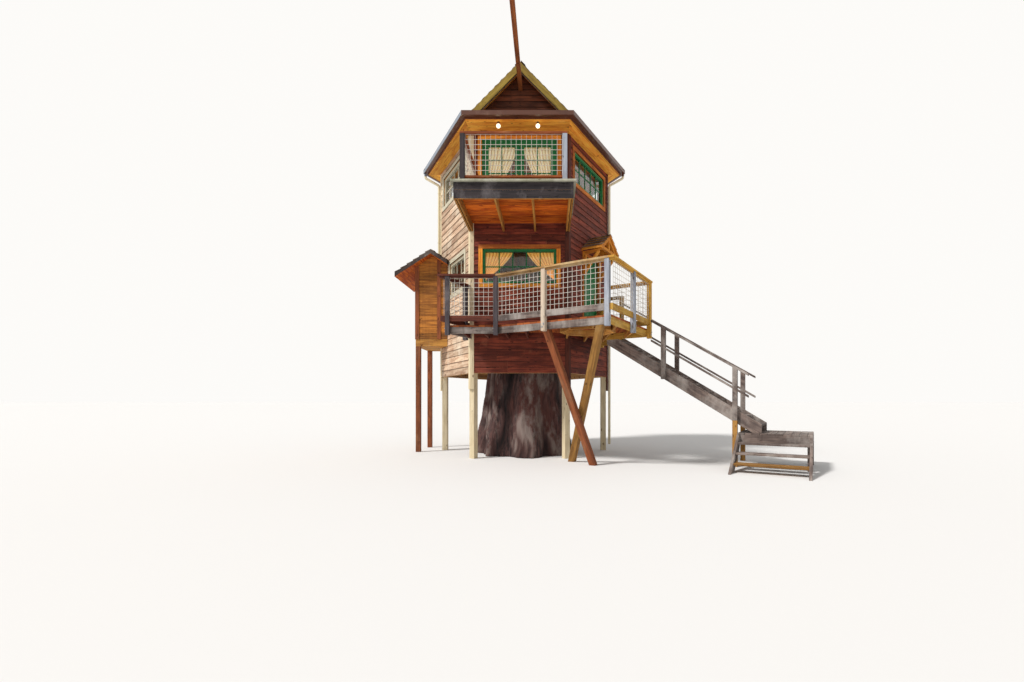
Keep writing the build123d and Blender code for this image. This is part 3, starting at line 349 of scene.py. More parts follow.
def painted_metal(name, colour, chalk, roughness=0.4, metallic=0.0):
    """Factory paint that has gone chalky in patches."""
    material, tree, shader = new_material(name)
    place = add_node(tree, "TexCoord")
    aged = placed_group(tree, WEATHERING, Place=place.outputs["Object"], Color=srgb(*colour), Worn=srgb(*chalk),
                        Wear=0.2, Dirt=0.25)
    feed_named(tree, shader, {"Base Color": aged["Color"], "Metallic": metallic,
                              "Roughness": spread(tree, aged["Mask"], 0.0, 1.0, roughness, roughness + 0.2)})
    return material


def window_glass(name):
    material, tree, shader = new_material(name)
    feed_named(tree, shader, {"Base Color": (0.93, 0.97, 0.96, 1), "Roughness": 0.03,
                              "Transmission Weight": 1.0, "IOR": 1.45})
    return material


def lamp_glow(name):
    material, tree, shader = new_material(name)
    feed_named(tree, shader, {"Base Color": (1.0, 0.9, 0.7, 1), "Emission Color": (1.0, 0.86, 0.58, 1),
                              "Emission Strength": 1.6, "Roughness": 0.3})
    return material


def curtain_cloth(name, colour, shade):
    """Thin cotton with a painted glow, its emission standing in for light through it from the room: a weave on the
    cloth's own UV, painted shade down in the folds.
    """
    material, tree, shader = new_material(name)
    uv = add_node(tree, "UVMap", uv_map="cloth")
    weave = stretched_noise(tree, uv.outputs[0], (90.0, 90.0, 1.0), 4.0, 2.0)
    bands = stretched_noise(tree, uv.outputs[0], (6.0, 0.6, 1.0), 2.0, 2.0)
    cloth = blend(tree, "MIX", spread(tree, bands, 0.35, 0.65, 0.0, 0.6), srgb(*colour), srgb(*shade))
    # Painted shade in the valleys of the folds.
    in_fold = spread(tree, attribute(tree, "fold"), 0.25, 1.0, 0.0, 0.9)
    cloth = blend(tree, "MULTIPLY", in_fold, cloth, FOLD_SHADE)
    feed_named(tree, shader, {"Base Color": cloth, "Emission Color": cloth, "Emission Strength": CURTAIN_GLOW,
                              "Roughness": 0.9, "Sheen Weight": 0.3})
    bumped(tree, shader, weave, 0.3, 0.001)
    return material


def old_bark(name):
    """Bare old redwood: furrows down the trunk, red-brown on the ribs, silver where the weather reaches."""
    material, tree, shader = new_material(name)
    place = add_node(tree, "TexCoord").outputs["Object"]
    hollow = attribute(tree, "hollow")
    furrows = stretched_noise(tree, place, (9.0, 9.0, 1.1), 2.2, 6.0, 0.65)
    redder = stretched_noise(tree, place, (1.4, 1.4, 0.4), 1.3, 3.0, 0.5)
    silver = stretched_noise(tree, place, (1.0, 1.0, 0.5), 1.9, 5.0, 0.65)
    colour = blend(tree, "MIX", spread(tree, furrows, 0.38, 0.60), srgb(30, 20, 22), srgb(92, 64, 60))
    colour = blend(tree, "MIX", spread(tree, redder, 0.48, 0.60, 0.0, 0.6), colour, srgb(92, 48, 40))
    on_ribs = spread(tree, hollow, 0.15, 0.55, 1.0, 0.2)
    weathered = maths(tree, "MULTIPLY", spread(tree, silver, 0.50, 0.60), on_ribs)
    colour = blend(tree, "MIX", weathered, colour, srgb(126, 112, 106))
    colour = blend(tree, "MULTIPLY", spread(tree, hollow, 0.25, 0.85), colour, FURROW_SHADE)
    feed_named(tree, shader, {"Base Color": colour, "Roughness": 0.92})
    bumped(tree, shader, furrows, 0.9, 0.03)
    return material


RED_SIDING = stained_wood(
    "Red-brown lap siding", (140, 66, 46), (74, 28, 22), (168, 108, 80), streaks=0.8, board_spread=0.7, wear=0.14)
BLEACHED_SIDING = stained_wood(
    "Sun-bleached lap siding", (218, 192, 164), (152, 112, 86), (226, 212, 190),
    board_spread=0.55, wear=0.3, dirt=0.2)
DARK_SIDING = stained_wood("Dark gable siding", (112, 60, 36), (60, 30, 20), (110, 74, 54), streaks=0.8, wear=0.1)
ORANGE_BOARDS = stained_wood(
    "Orange soffit boards", (255, 192, 76), (206, 116, 32), (255, 214, 132),
    board_spread=0.6, wear=0.12, dirt=0.15)
ORANGE_TIMBER = stained_wood("Orange-brown timber", (182, 98, 46), (112, 54, 26), (176, 126, 84), wear=0.18)
TRIM_WOOD = stained_wood("Golden window trim", (206, 124, 52), (146, 72, 28), (196, 134, 80), wear=0.12)
HEAD_TRIM = stained_wood(
    "Yellow-orange head trim", (250, 172, 62), (190, 104, 32), (240, 184, 100), streaks=0.8, wear=0.12)
OCHRE_TIMBER = stained_wood("Yellow-ochre boards", (208, 164, 72), (152, 104, 38), (206, 180, 116), wear=0.18)
CREAM_WOOD = stained_wood(
    "Cream painted boards", (226, 212, 180), (190, 168, 128), (204, 192, 166), streaks=0.4, board_spread=0.15)
RED_TIMBER = stained_wood("Dark red-brown rails", (112, 56, 40), (66, 32, 24), (134, 92, 72), wear=0.18)
PALE_TIMBER = stained_wood("Tan weathered rails", (184, 146, 94), (120, 84, 50), (196, 172, 132), wear=0.3)
GREY_TIMBER = stained_wood(
    "Grey weathered boards", (134, 118, 110), (74, 64, 62), (172, 164, 158), streaks=0.8, wear=0.35, dirt=0.45)
BLACK_TIMBER = stained_wood("Dark weathered rim", (60, 52, 54), (30, 27, 30), (116, 110, 112), streaks=0.8)
BLUE_GREY_TIMBER = stained_wood(
    "Pale blue-grey post", (172, 178, 190), (122, 124, 134), (198, 200, 204),
    streaks=0.6, wear=0.25, board_spread=0.2)
DARK_GREY_TIMBER = stained_wood(
    "Dark grey posts", (88, 80, 84), (52, 46, 50), (134, 128, 130), wear=0.25, board_spread=0.3)
WORN_CREAM = stained_wood(
    "Worn cream post", (206, 188, 168), (158, 138, 118), (190, 180, 166), streaks=0.5, wear=0.3, board_spread=0.1)
GREEN_GREY_CAP = stained_wood(
    "Pale grey-green cap", (178, 178, 154), (128, 126, 108), (202, 200, 186),
    streaks=0.6, wear=0.3, board_spread=0.2)
BALCONY_ORANGE = stained_wood(
    "Deep orange balcony boards", (244, 132, 40), (168, 70, 20), (236, 160, 84),
    streaks=0.9, board_spread=0.7, wear=0.1, dirt=0.1)
BARGE_OCHRE = stained_wood(
    "Olive-ochre barge boards", (162, 138, 58), (112, 86, 32), (170, 150, 88), board_spread=0.3)
POLE_BROWN = stained_wood("Orange-brown pole", (158, 92, 48), (96, 50, 28), (176, 126, 84))
LEG_BROWN = stained_wood("Orange-brown leg", (156, 88, 50), (92, 48, 28), (150, 112, 82))
LEG_OCHRE = stained_wood("Ochre-brown leg", (176, 128, 64), (118, 82, 40), (178, 146, 96), wear=0.18)
FASCIA_BROWN = stained_wood(
    "Red-brown fascia", (112, 60, 38), (74, 38, 26), (140, 100, 78), streaks=0.5, wear=0.12, board_spread=0.2)
BAY_GOLD = stained_wood(
    "Golden-brown bay boards", (182, 118, 48), (116, 68, 28), (172, 130, 80),
    streaks=0.8, wear=0.15, board_spread=0.7)
ROOF_EDGE = stained_wood(
    "Dark roof boarding", (74, 60, 54), (46, 38, 36), (128, 120, 114), streaks=0.6, wear=0.3, board_spread=0.3)
FRAMING = stained_wood("Yellow-orange framing", (206, 150, 72), (142, 90, 38), (190, 158, 110), wear=0.15)
INSIDE_BOARDS = stained_wood(
    "Pine lining", (206, 160, 104), (160, 108, 62), (196, 162, 118), streaks=0.6, wear=0.05, dirt=0.05)
CEDAR_SHAKES = stained_wood(
    "Cedar shakes", (122, 94, 72), (66, 48, 38), (150, 138, 124),
    board_spread=0.8, wear=0.3, dirt=0.35, roughness=0.85)
GREEN_FRAME = stained_wood(
    "Green painted frames", (32, 120, 66), (18, 82, 44), (96, 140, 96),
    streaks=0.3, board_spread=0.1, wear=0.08, roughness=0.5)
PALE_FRAME = stained_wood(
    "Pale painted frames", (204, 198, 176), (170, 158, 130), (186, 178, 154),
    streaks=0.3, board_spread=0.1, wear=0.15, roughness=0.6)
BROWN_GUTTER = painted_metal("Brown gutter", (92, 54, 38), (126, 96, 80), 0.32)
# The left gutter's blue-grey is a painted reflection of the sky on the brown gutter paint.
SKY_REFLECTION_GUTTER = painted_metal("Gutter with painted sky reflection", (122, 132, 146), (160, 166, 174), 0.32)
CREAM_PIPE = painted_metal("Cream rain pipe", (226, 214, 182), (206, 196, 172))
ZINC_WIRE = painted_metal("Zinc wire mesh", (214, 208, 198), (156, 148, 140), 0.4, 0.25)
GALVANISED = painted_metal("Galvanised bolts", (168, 168, 166), (120, 118, 114), 0.4, 0.8)
BRASS = painted_metal("Brass handles", (186, 142, 72), (128, 98, 58), 0.35, 0.9)
CLEAR_GLASS = window_glass("Window glass")
LAMP_GLOBE = lamp_glow("Warm lamp globes")
GOLD_CURTAIN = curtain_cloth("Gold curtain cloth", (255, 206, 114), (246, 180, 82))
CREAM_CURTAIN = curtain_cloth("Cream curtain cloth", (252, 236, 196), (240, 210, 156))
BARK = old_bark("Old redwood bark")

# --- Working in meshes ---

# Distances in metres, face sizes in square metres
WELD = 0.0001
ON_PLANE = 0.00001
SKIN_DEPTH = 0.003
BEYOND_ALL = 20.0
LEAST_BOARD = 0.001
LEAST_SLOPE = 0.2
SMALL_FACE = 0.0005
# Angles, and how far one direction points along another
FLAT = math.radians(1)
SHARP = math.radians(35)
SAME_SLOPE = 0.999
SAME_WAY = 0.99
HALF_WAY = 0.5
UPWARD = 0.3
DOWNWARD = -0.3
SQUARE = 0.1


def copied(name):
    """A welded copy of a CAD node, with flat faces made whole again."""
    bm = bmesh.new()
    bm.from_mesh(cad[name].data)
    bmesh.ops.remove_doubles(bm, verts=bm.verts[:], dist=WELD)
    bmesh.ops.dissolve_limit(bm, angle_limit=FLAT, verts=bm.verts[:], edges=bm.edges[:])
    bm.normal_update()
    return bm


def pour(bm, other):
    """Adds the other bmesh to this one and frees it."""
    carried = bpy.data.meshes.new("carried")
    other.to_mesh(carried)
    other.free()
    bm.from_mesh(carried)
    bpy.data.meshes.remove(carried)


def cut_off(bm, point, normal, cap=True):
    """Takes away what lies beyond the plane, and closes the cut."""
    cut = bmesh.ops.bisect_plane(bm, geom=bm.verts[:] + bm.edges[:] + bm.faces[:], dist=ON_PLANE,
                                 plane_co=point, plane_no=normal, clear_outer=True)
    if cap:
        edges = [e for e in cut["geom_cut"] if isinstance(e, bmesh.types.BMEdge) and e.is_valid]
        bmesh.ops.holes_fill(bm, edges=edges, sides=0)


def trimmed_to_cad(bm):
    """Saws off what would stick out of the CAD's own box to the left, to the back or over the peak."""
    for limit, normal in ((cad_box[0], -X_AXIS), (cad_box[1], Y_AXIS), (cad_box[1], UP)):
        cut_off(bm, Vector(limit), normal)


def slice_of(bm, along, start, end, cap=True):
    """A new bmesh with the stretch of this one between two distances along a direction."""
    part = bm.copy()
    cut_off(part, along * end, along, cap)
    cut_off(part, along * start, -along, cap)
    return part


def extent(bm, along):
    reach = [v.co.dot(along) for v in bm.verts]
    return min(reach), max(reach)


def skin_facing(name, facing, tolerance=SAME_WAY):
    """The outermost faces of a CAD node that look this way, as an open sheet."""
    bm = copied(name)
    turned = [f for f in bm.faces if f.normal.dot(facing) > tolerance]
    outermost = max(f.calc_center_median().dot(facing) for f in turned)
    kept = {f for f in turned if f.calc_center_median().dot(facing) > outermost - SKIN_DEPTH}
    bmesh.ops.delete(bm, geom=[f for f in bm.faces if f not in kept], context="FACES")
    return bm


def thicken(bm, facing, thick):
    """Gives an open sheet its thickness, away from the side it faces."""
    bmesh.ops.recalc_face_normals(bm, faces=bm.faces[:])
    made = bmesh.ops.extrude_face_region(bm, geom=bm.faces[:], use_keep_orig=True)
    verts = [v for v in made["geom"] if isinstance(v, bmesh.types.BMVert)]
    bmesh.ops.translate(bm, vec=-facing * thick, verts=verts)
    bmesh.ops.recalc_face_normals(bm, faces=bm.faces[:])


def separate_solids(bm):
    """Lists of the faces that hang together, in the mesh's own order."""
    seen, solids = set(), []
    for start in bm.faces:
        if start in seen:
            continue
        seen.add(start)
        found = [start]
        for face in found:
            for edge in face.edges:
                for other in edge.link_faces:
                    if other not in seen:
                        seen.add(other)
                        found.append(other)
        solids.append(found)
    return solids


def centre_of(faces):
    total = sum((f.calc_center_median() for f in faces), Vector())
    return total / len(faces)


def solid_centres(node):
    """The middles of a CAD node's solids, from left to right."""
    bm = copied(node)
    middles = sorted((centre_of(faces) for faces in separate_solids(bm)), key=lambda c: c.x)
    bm.free()
    return middles


def longest_edge(face):
    edge = max(face.edges, key=lambda e: e.calc_length())
    return (edge.verts[1].co - edge.verts[0].co).normalized()


def mark_boards(bm, draw, along=None, pick=None):
    """Gives every board its own number, its grain direction as a UV map, and its finish by place and facing."""
    board = bm.faces.layers.float.new("board")
    grain = bm.loops.layers.uv.new("grain")
    bm.normal_update()
    solids = sorted(separate_solids(bm), key=lambda faces: tuple(round(c, 3) for c in centre_of(faces)))
    for faces in solids:
        number = draw.random()
        middle = centre_of(faces)
        for face in faces:
            face[board] = number
            face.material_index = pick(middle, face.normal) if pick else 0
            length = along or longest_edge(face)
            across = face.normal.cross(length)
            if across.length < SQUARE:
                length = longest_edge(face)
                across = face.normal.cross(length)
            for loop in face.loops:
                loop[grain].uv = (loop.vert.co.dot(length), loop.vert.co.dot(across))


def piece(name, bm, finishes, slot, *stands_for):
    """Makes the mesh an object of the house, riding on its only body."""
    mesh = bpy.data.meshes.new(name)
    bm.to_mesh(mesh)
    bm.free()
    made = bpy.data.objects.new(name, mesh)
    bpy.context.scene.collection.objects.link(made)
    for finish in finishes if isinstance(finishes, list) else [finishes]:
        mesh.materials.append(finish)
    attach(made, "root")
    if stands_for:
        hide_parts(*stands_for)
    return made


def wooden_piece(name, bm, finishes, slot, *stands_for, draw=None, along=None, pick=None):
    """A piece of boards, each with a grain and tone of its own."""
    mark_boards(bm, draw or random.Random(name), along, pick)
    return piece(name, bm, finishes, slot, *stands_for)


def eased(bm, width=EASED_EDGE):
    """Takes the sharpness off the long edges of sawn timber."""
    sharp = [e for e in bm.edges if len(e.link_faces) == 2 and e.calc_face_angle(0) > SHARP]
    bmesh.ops.bevel(bm, geom=sharp, offset=width, offset_type="OFFSET", affect="EDGES", segments=1,
                    profile=0.5, material=-1, clamp_overlap=True)


def sawn_at(bm, along, places):
    """The mesh sawn into lengths at these distances along a direction."""
    cuts = [-BEYOND_ALL, *places, BEYOND_ALL]
    lengths = bmesh.new()
    for start, end in zip(cuts, cuts[1:]):
        pour(lengths, slice_of(bm, along, start, end))
    bm.free()
    return lengths


def timber(node, finishes, slot="cedar", edge=EASED_EDGE, pick=None, sawn=(), name=None):
    """A CAD node as sawn timber with eased edges, named after the node."""
    name = name or node.removesuffix("s") + "_timber"
    bm = copied(node)
    for along, places in sawn:
        bm = sawn_at(bm, along, places)
    if edge:
        eased(bm, edge)
    wooden_piece(name, bm, finishes, slot, node, pick=pick)


def bar(bm, start, end, wide, deep, facing):
    """A square-edged stick between two points, its depth lying along the facing direction."""
    along = end - start
    length = along.length
    along = along.normalized()
    depth = (facing - along * facing.dot(along)).normalized()
    width = depth.cross(along)
    turn = Matrix((width, depth, along)).transposed().to_4x4()
    size = Matrix.Diagonal((wide, deep, length, 1))
    bmesh.ops.create_cube(bm, size=1, matrix=Matrix.Translation((start + end) / 2) @ turn @ size)


# --- Lap siding ---


def course_boards(bm, sheet, facing, rise, foot, exposure, lengths, gap, draw, butt, tip, thick):
    """Lays a sheet as overlapping courses of boards: each butt stands out, each top lies under the next one."""
    run = rise.cross(facing)
    first, last = extent(sheet, rise)
    count = math.ceil((last - foot) / exposure)
    # Each board's share up its course is kept as tuck, which the material uses for painted shade under the next
    # course.
    sheet.verts.layers.float.new("tuck")
    for index in range(math.floor((first - foot) / exposure), count):
        level = foot + index * exposure
        course = slice_of(sheet, rise, level, level + exposure, cap=False)
        if not course.faces:
            course.free()
            continue
        start, end = extent(course, run)
        place = start - draw.uniform(0, lengths[0])
        while place < end:
            step = draw.uniform(*lengths)
            board = slice_of(course, run, place + gap / 2, place + step - gap / 2, cap=False)
            place += step
            if not board.faces:
                board.free()
                continue
            tuck = board.verts.layers.float["tuck"]
            for v in board.verts:
                share = (v.co.dot(rise) - level) / exposure
                v[tuck] = share
                v.co += facing * (butt + (tip - butt) * share)
            thicken(board, facing, thick)
            pour(bm, board)
        course.free()


def lap_siding(name, node, facing, exposure, finish):
    draw = random.Random(name)
    sheet = skin_facing(node, facing)
    bm = bmesh.new()
    course_boards(bm, sheet, facing, UP, WALL_FOOT, exposure, LAP_LONG, LAP_GAP, draw, LAP_BUTT, LAP_TIP,
                  LAP_THICK)
    sheet.free()
    wooden_piece(name, bm, finish, "siding", draw=draw, along=UP.cross(facing))


WALLS = ("front_wall", "front_right_wall", "back_right_wall", "back_wall", "back_left_wall", "front_left_wall")
for side, wall_node in enumerate(WALLS):
    bleached = side in (4, 5)
    lap_siding(wall_node.replace("_wall", "_siding"), wall_node, side_normal(side),
               LAP_SIDE if bleached else LAP_FRONT, BLEACHED_SIDING if bleached else RED_SIDING)
lap_siding("gable_siding", "gable_wall", -Y_AXIS, LAP_FRONT, DARK_SIDING)

# --- Roof shakes ---


def shake_roof(name, node, facing):
    """Split shakes in courses over the upper face of a roof slab, kept under the peak of the CAD's own roof."""
    draw = random.Random(name)
    sheet = skin_facing(node, facing, SAME_SLOPE)
    rise = (UP - facing * facing.z).normalized()
    bm = bmesh.new()
    course_boards(bm, sheet, facing, rise, extent(sheet, rise)[0], SHAKE_COURSE, SHAKE_WIDE, SHAKE_GAP, draw,
                  SHAKE_BUTT, SHAKE_TIP, SHAKE_THICK)
    sheet.free()
    trimmed_to_cad(bm)
    wooden_piece(name, bm, CEDAR_SHAKES, "roofing", draw=draw, along=rise)


def upper_facings(node):
    """The directions that the large upward faces of a roof look in, the largest face first."""
    bm = copied(node)
    facings = []
    for face in sorted((f for f in bm.faces if f.normal.z > UPWARD), key=lambda f: -f.calc_area()):
        if face.calc_area() > LEAST_SLOPE and all(face.normal.dot(facing) < SAME_WAY for facing in facings):
            facings.append(face.normal.copy())
    bm.free()
    return facings


MAIN_SLABS = ("roof_right_front", "roof_right_back", "roof_back", "roof_left_back", "roof_left_front")
for slab in MAIN_SLABS:
    shake_roof(slab.replace("roof", "shakes"), slab, upper_facings(slab)[0])
for small_roof in ("skirt_roof", "bay_roof", "door_hood"):
    for number, facing in enumerate(upper_facings(small_roof)):
        shake_roof(f"{small_roof}_shakes_{number}", small_roof, facing)


def hip_caps():
    """Overlapping pairs of cap shakes down each line where two neighbouring slabs meet."""
    draw = random.Random("hip_cap_shakes")
    bm = bmesh.new()
    peak = Vector((0, 0, ROOF_PEAK))
    facings = [upper_facings(slab)[0] for slab in MAIN_SLABS]
    for number, (one, other) in enumerate(zip(facings, facings[1:] + facings[:1])):
        down = one.cross(other).normalized()
        down *= -1 if down.z > 0 else 1
        front = down.y < -HALF_WAY and abs(down.x) < SQUARE
        reach = low("barge_boards").y / down.y if front else (low(MAIN_SLABS[number]).z - ROOF_PEAK) / down.z
        walked = CAP_START
        while walked < reach - CAPS_END:
            for facing in (one, other):
                away = down.cross(facing)
                away *= 1 if away.dot(one + other) < 0 else -1
                lift = facing * (CAP_BED + draw.uniform(0, CAP_RAGGED))
                start = peak + down * walked + away * CAP_HALF + lift
                bar(bm, start, start + down * CAP_LONG + facing * CAP_LIFT, CAP_WIDE, SHAKE_THICK, facing)
            walked += CAP_STEP
    trimmed_to_cad(bm)
    wooden_piece("hip_cap_shakes", bm, CEDAR_SHAKES, "roofing", draw=draw)


hip_caps()

# --- Boards cut from the CAD's whole decks and linings ---


def lay_boards(bm, whole, across, width, gap, least=LEAST_BOARD):
    """Adds the whole to the mesh as boards laid side by side across the direction, and frees it."""
    start, end = extent(whole, across)
    while start < end - least:
        pour(bm, slice_of(whole, across, start + gap / 2, min(start + width, end) - gap / 2))
        start += width
    whole.free()


def planks(name, node, across, width, gap, finish, edge=FINE_EDGE, slot="cedar"):
    """The node as separate boards, each with a grain and tone of its own."""
    bm = bmesh.new()
    lay_boards(bm, copied(node), across, width, gap)
    if edge:
        eased(bm, edge)
    wooden_piece(name, bm, finish, slot, node, along=across.cross(UP) if abs(across.z) < HALF_WAY else None)


planks("deck_planks", "deck_boards", X_AXIS, DECK_BOARD, DECK_GAP, ORANGE_TIMBER)
planks("balcony_planks", "balcony_deck", Y_AXIS, DECK_BOARD, BALCONY_GAP, BALCONY_ORANGE)
planks("platform_planks", "platform_boards", side_normal(1), DECK_BOARD, DECK_GAP, GREY_TIMBER, slot="grey_wood")
for floor_node in ("lower_floor", "upper_floor"):
    planks(floor_node + "_boards", floor_node, X_AXIS, LINING_BOARD, LINING_GAP, INSIDE_BOARDS, edge=0)
for wall_node in WALLS:
    planks(wall_node.replace("_wall", "_lining"), wall_node, UP, LINING_BOARD, LINING_GAP, INSIDE_BOARDS, edge=0)
planks("bay_boards", "bay_walls", UP, BAY_BOARD, LINING_GAP, BAY_GOLD)
planks("bay_floor_boards", "bay_floor", Y_AXIS, DECK_BOARD, LINING_GAP, FRAMING, edge=0)

# --- Frame, rails, posts and trim ---

deck_front_posts = [middle.x for middle in solid_centres("deck_posts") if middle.y < DECK_FRONT]


def soffit_boards():
    """The soffit in narrow boards along each eave, mitred where two eaves meet."""
    lining = copied("soffit")
    bm = bmesh.new()
    mitres = []
    for side in range(len(WALLS)):
        corner = side_normal(side) * WALL_OUT + side_along(side) * WALL_OUT * math.tan(math.radians(30))
        out = max((v.co for v in lining.verts), key=lambda co: co.dot(corner))
        across = UP.cross(out - corner)
        across.z = 0
        mitres.append((corner, across.normalized()))
    for side in range(len(WALLS)):
        bay = lining.copy()
        middle = side_normal(side) * (WALL_OUT + UNDER_EAVE)
        for corner, across in (mitres[side - 1], mitres[side]):
            cut_off(bay, corner, -across if (middle - corner).dot(across) > 0 else across)
        lay_boards(bm, bay, side_normal(side), SOFFIT_BOARD, SOFFIT_GAP, SOFFIT_LEAST)
    lining.free()
    wooden_piece("soffit_lining", bm, ORANGE_BOARDS, "cedar", "soffit", draw=random.Random("soffit"))


def window_trim_boards():
    """Each window's trim as a head, a sill and two side boards, with the head the yellower one."""
    trims = copied("window_trim")
    bm = bmesh.new()
    for faces in separate_solids(trims):
        one = trims.copy()
        kept = {face.index for face in faces}
        bmesh.ops.delete(one, geom=[f for f in one.faces if f.index not in kept], context="FACES")
        foot, head = extent(one, UP)
        has_sill = foot > low("lower_floor").z + FLOOR_REACH and abs(foot - low("balcony_doors").z) > SAME_LEVEL
        pour(bm, sawn_at(one, UP, ([foot + TRIM_WIDE] if has_sill else []) + [head - TRIM_WIDE]))
    trims.free()
    wooden_piece("window_trim_boards", bm, [TRIM_WOOD, PALE_FRAME, HEAD_TRIM], "cedar", "window_trim",
                 draw=random.Random("trim"), pick=trim_finish)


def trim_finish(middle, normal):
    if left_side(middle, normal):
        return 1
    return 2 if abs(middle.x) < MIDDLE_TRIM else 0


def left_side(middle, normal):
    """1 for a piece on the two sun-bleached left walls, 0 for one on the others."""
    return int(middle.x < LEFT_WALLS_END and middle.y < LEFT_WALLS_BACK)


def underside(middle, normal):
    return int(normal.z < DOWNWARD)


def deck_post_finish(middle, normal):
    """Dark posts on the left, cream and blue-grey ones at the front, ochre ones on the right."""
    if middle.x < DARK_POSTS_END:
        return 0
    if middle.x < CREAM_POST_END:
        return 1
    return 2 if middle.y < BLUE_POSTS_BACK else 3


def deck_rail_finish(middle, normal):
    """Dark red on the left, tan at the front and orange on the right; the low boards are grey in front."""
    if middle.x < deck_front_posts[1]:
        return 0
    if middle.x < deck_front_posts[3]:
        return 3 if middle.z < LOW_BOARD_TOP else 1
    return 2


def right_of(line):
    return lambda middle, normal: int(middle.x > line)


def left_of(line):
    return lambda middle, normal: int(middle.x < line)


def below(line):
    return lambda middle, normal: int(middle.z < line)


FRONT_SEAMS = ((X_AXIS, deck_front_posts[1:4]),)
BALCONY_SEAMS = (X_AXIS, (-BALCONY_CORNER, BALCONY_CORNER))

timber("balcony_joists", FRAMING, "cedar")
timber("balcony_rim", [BLACK_TIMBER, FRAMING], "grey_wood", pick=underside,
       sawn=((UP, (RIM_SEAM,)), BALCONY_SEAMS))
timber("balcony_cap", GREEN_GREY_CAP, "grey_wood", sawn=(BALCONY_SEAMS,), name="balcony_cap_board")
timber("balcony_posts", [BLACK_TIMBER, BLUE_GREY_TIMBER], "grey_wood", pick=right_of(0))
timber("balcony_rails", ORANGE_TIMBER, "cedar",
       sawn=((X_AXIS, (-BALCONY_POST_LINE, BALCONY_POST_LINE)),))
timber("deck_rim", [GREY_TIMBER, OCHRE_TIMBER], "grey_wood",
       pick=right_of(deck_front_posts[3]), sawn=FRONT_SEAMS)
# Joists left of the third front post are dark red-brown: painted shade under the deck rim.
timber("deck_joists", [FRAMING, RED_TIMBER], "cedar", pick=left_of(deck_front_posts[2]))
timber("deck_posts", [DARK_GREY_TIMBER, WORN_CREAM, BLUE_GREY_TIMBER, OCHRE_TIMBER],
       "pale_wood", pick=deck_post_finish)
timber("deck_rails", [RED_TIMBER, PALE_TIMBER, OCHRE_TIMBER, GREY_TIMBER], "pale_wood",
       pick=deck_rail_finish, sawn=FRONT_SEAMS)
timber("stair_stringers", GREY_TIMBER, "grey_wood")
timber("stair_treads", [GREY_TIMBER, LEG_OCHRE], "grey_wood", pick=below(LOW_TREAD))
# The railing is sawn at this level and is ochre below it: painted sunlight on the foot of the newel; above, it
# keeps the stair's grey.
timber("stair_railing", [GREY_TIMBER, LEG_OCHRE], "grey_wood", pick=below(NEWEL_SUNLIT_TOP),
       sawn=((UP, (NEWEL_SUNLIT_TOP,)),), name="stair_rail_timber")
timber("platform_frame", GREY_TIMBER, "cedar")
timber("outer_legs", [LEG_BROWN, LEG_OCHRE], "cedar", pick=right_of(LEFT_LEGS_END))
timber("corner_posts", CREAM_WOOD, "pale_wood")
timber("corner_boards", [RED_TIMBER, CREAM_WOOD], "pale_wood", pick=left_side, name="corner_board_trim")
timber("floor_beams", ORANGE_TIMBER, "cedar")
timber("floor_joists", FRAMING, "cedar")
timber("barge_boards", BARGE_OCHRE, "pale_wood", sawn=((X_AXIS, (0.0,)),))
timber("ridge_pole", POLE_BROWN, "cedar")
timber("fascia", FASCIA_BROWN, "gutter_paint", name="fascia_boards")
window_trim_boards()
timber("window_frames", [GREEN_FRAME, PALE_FRAME], "green_paint", FINE_EDGE, left_side)
timber("balcony_doors", GREEN_FRAME, "green_paint", FINE_EDGE)
timber("entry_door", GREEN_FRAME, "green_paint", FINE_EDGE)
timber("door_hood", HEAD_TRIM, "cedar")
soffit_boards()
timber("gable_wall", DARK_SIDING, "siding", edge=0, name="gable_core_timber")
for slab in (*MAIN_SLABS, "skirt_roof", "bay_roof"):
    lining_finish = BALCONY_ORANGE if slab == "bay_roof" else ORANGE_BOARDS
    timber(slab, [ROOF_EDGE, lining_finish], "roofing", 0, underside, name=slab + "_boards")


def bay_corner_boards():
    """Upright boards over the bay's corners, and one where its front wall nears the cabin."""
    bm = bmesh.new()
    left, front, back = low("bay_walls").x, low("bay_walls").y, high("bay_walls").y
    for facing, along, starts in ((-Y_AXIS, X_AXIS, (left, left + BAY_TRIM_IN)),
                                  (-X_AXIS, Y_AXIS, (front, back - TRIM_WIDE))):
        sheet = skin_facing("bay_walls", facing)
        bmesh.ops.translate(sheet, vec=facing * BAY_TRIM_THICK, verts=sheet.verts[:])
        for start in starts:
            board = slice_of(sheet, along, start, start + TRIM_WIDE, cap=False)
            thicken(board, facing, BAY_TRIM_THICK)
            pour(bm, board)
        sheet.free()
    eased(bm, FINE_EDGE)
    wooden_piece("bay_corner_boards", bm, LEG_BROWN, "cedar", draw=random.Random("bay corners"))


bay_corner_boards()


def painted_piece(name, node, finishes, slot, pick):
    """The node's own shape, with a finish for each face by its place."""
    bm = copied(node)
    for face in bm.faces:
        face.material_index = pick(face.calc_center_median())
        face.smooth = len(face.verts) > 4 or face.calc_area() < SMALL_FACE
    return piece(name, bm, finishes, slot, node)


def gutter_finish(middle):
    """Cream rain pipes; the troughs are brown, but on the left side blue-grey, a painted reflection of the sky."""
    if middle.z < high("fascia").z - TROUGH_DEEP:
        return 1
    return 2 if middle.x < low("balcony_rim").x else 0


painted_piece("gutters_and_pipes", "gutters", [BROWN_GUTTER, CREAM_PIPE, SKY_REFLECTION_GUTTER], "gutter_paint",
              gutter_finish)
painted_piece("lamp_globes", "soffit_lamps", [LAMP_GLOBE, BROWN_GUTTER], "lamp_glass",
              lambda middle: int(middle.z > SOFFIT_LEVEL - LAMP_COLLAR))

# --- Welded mesh, window bars and glass ---


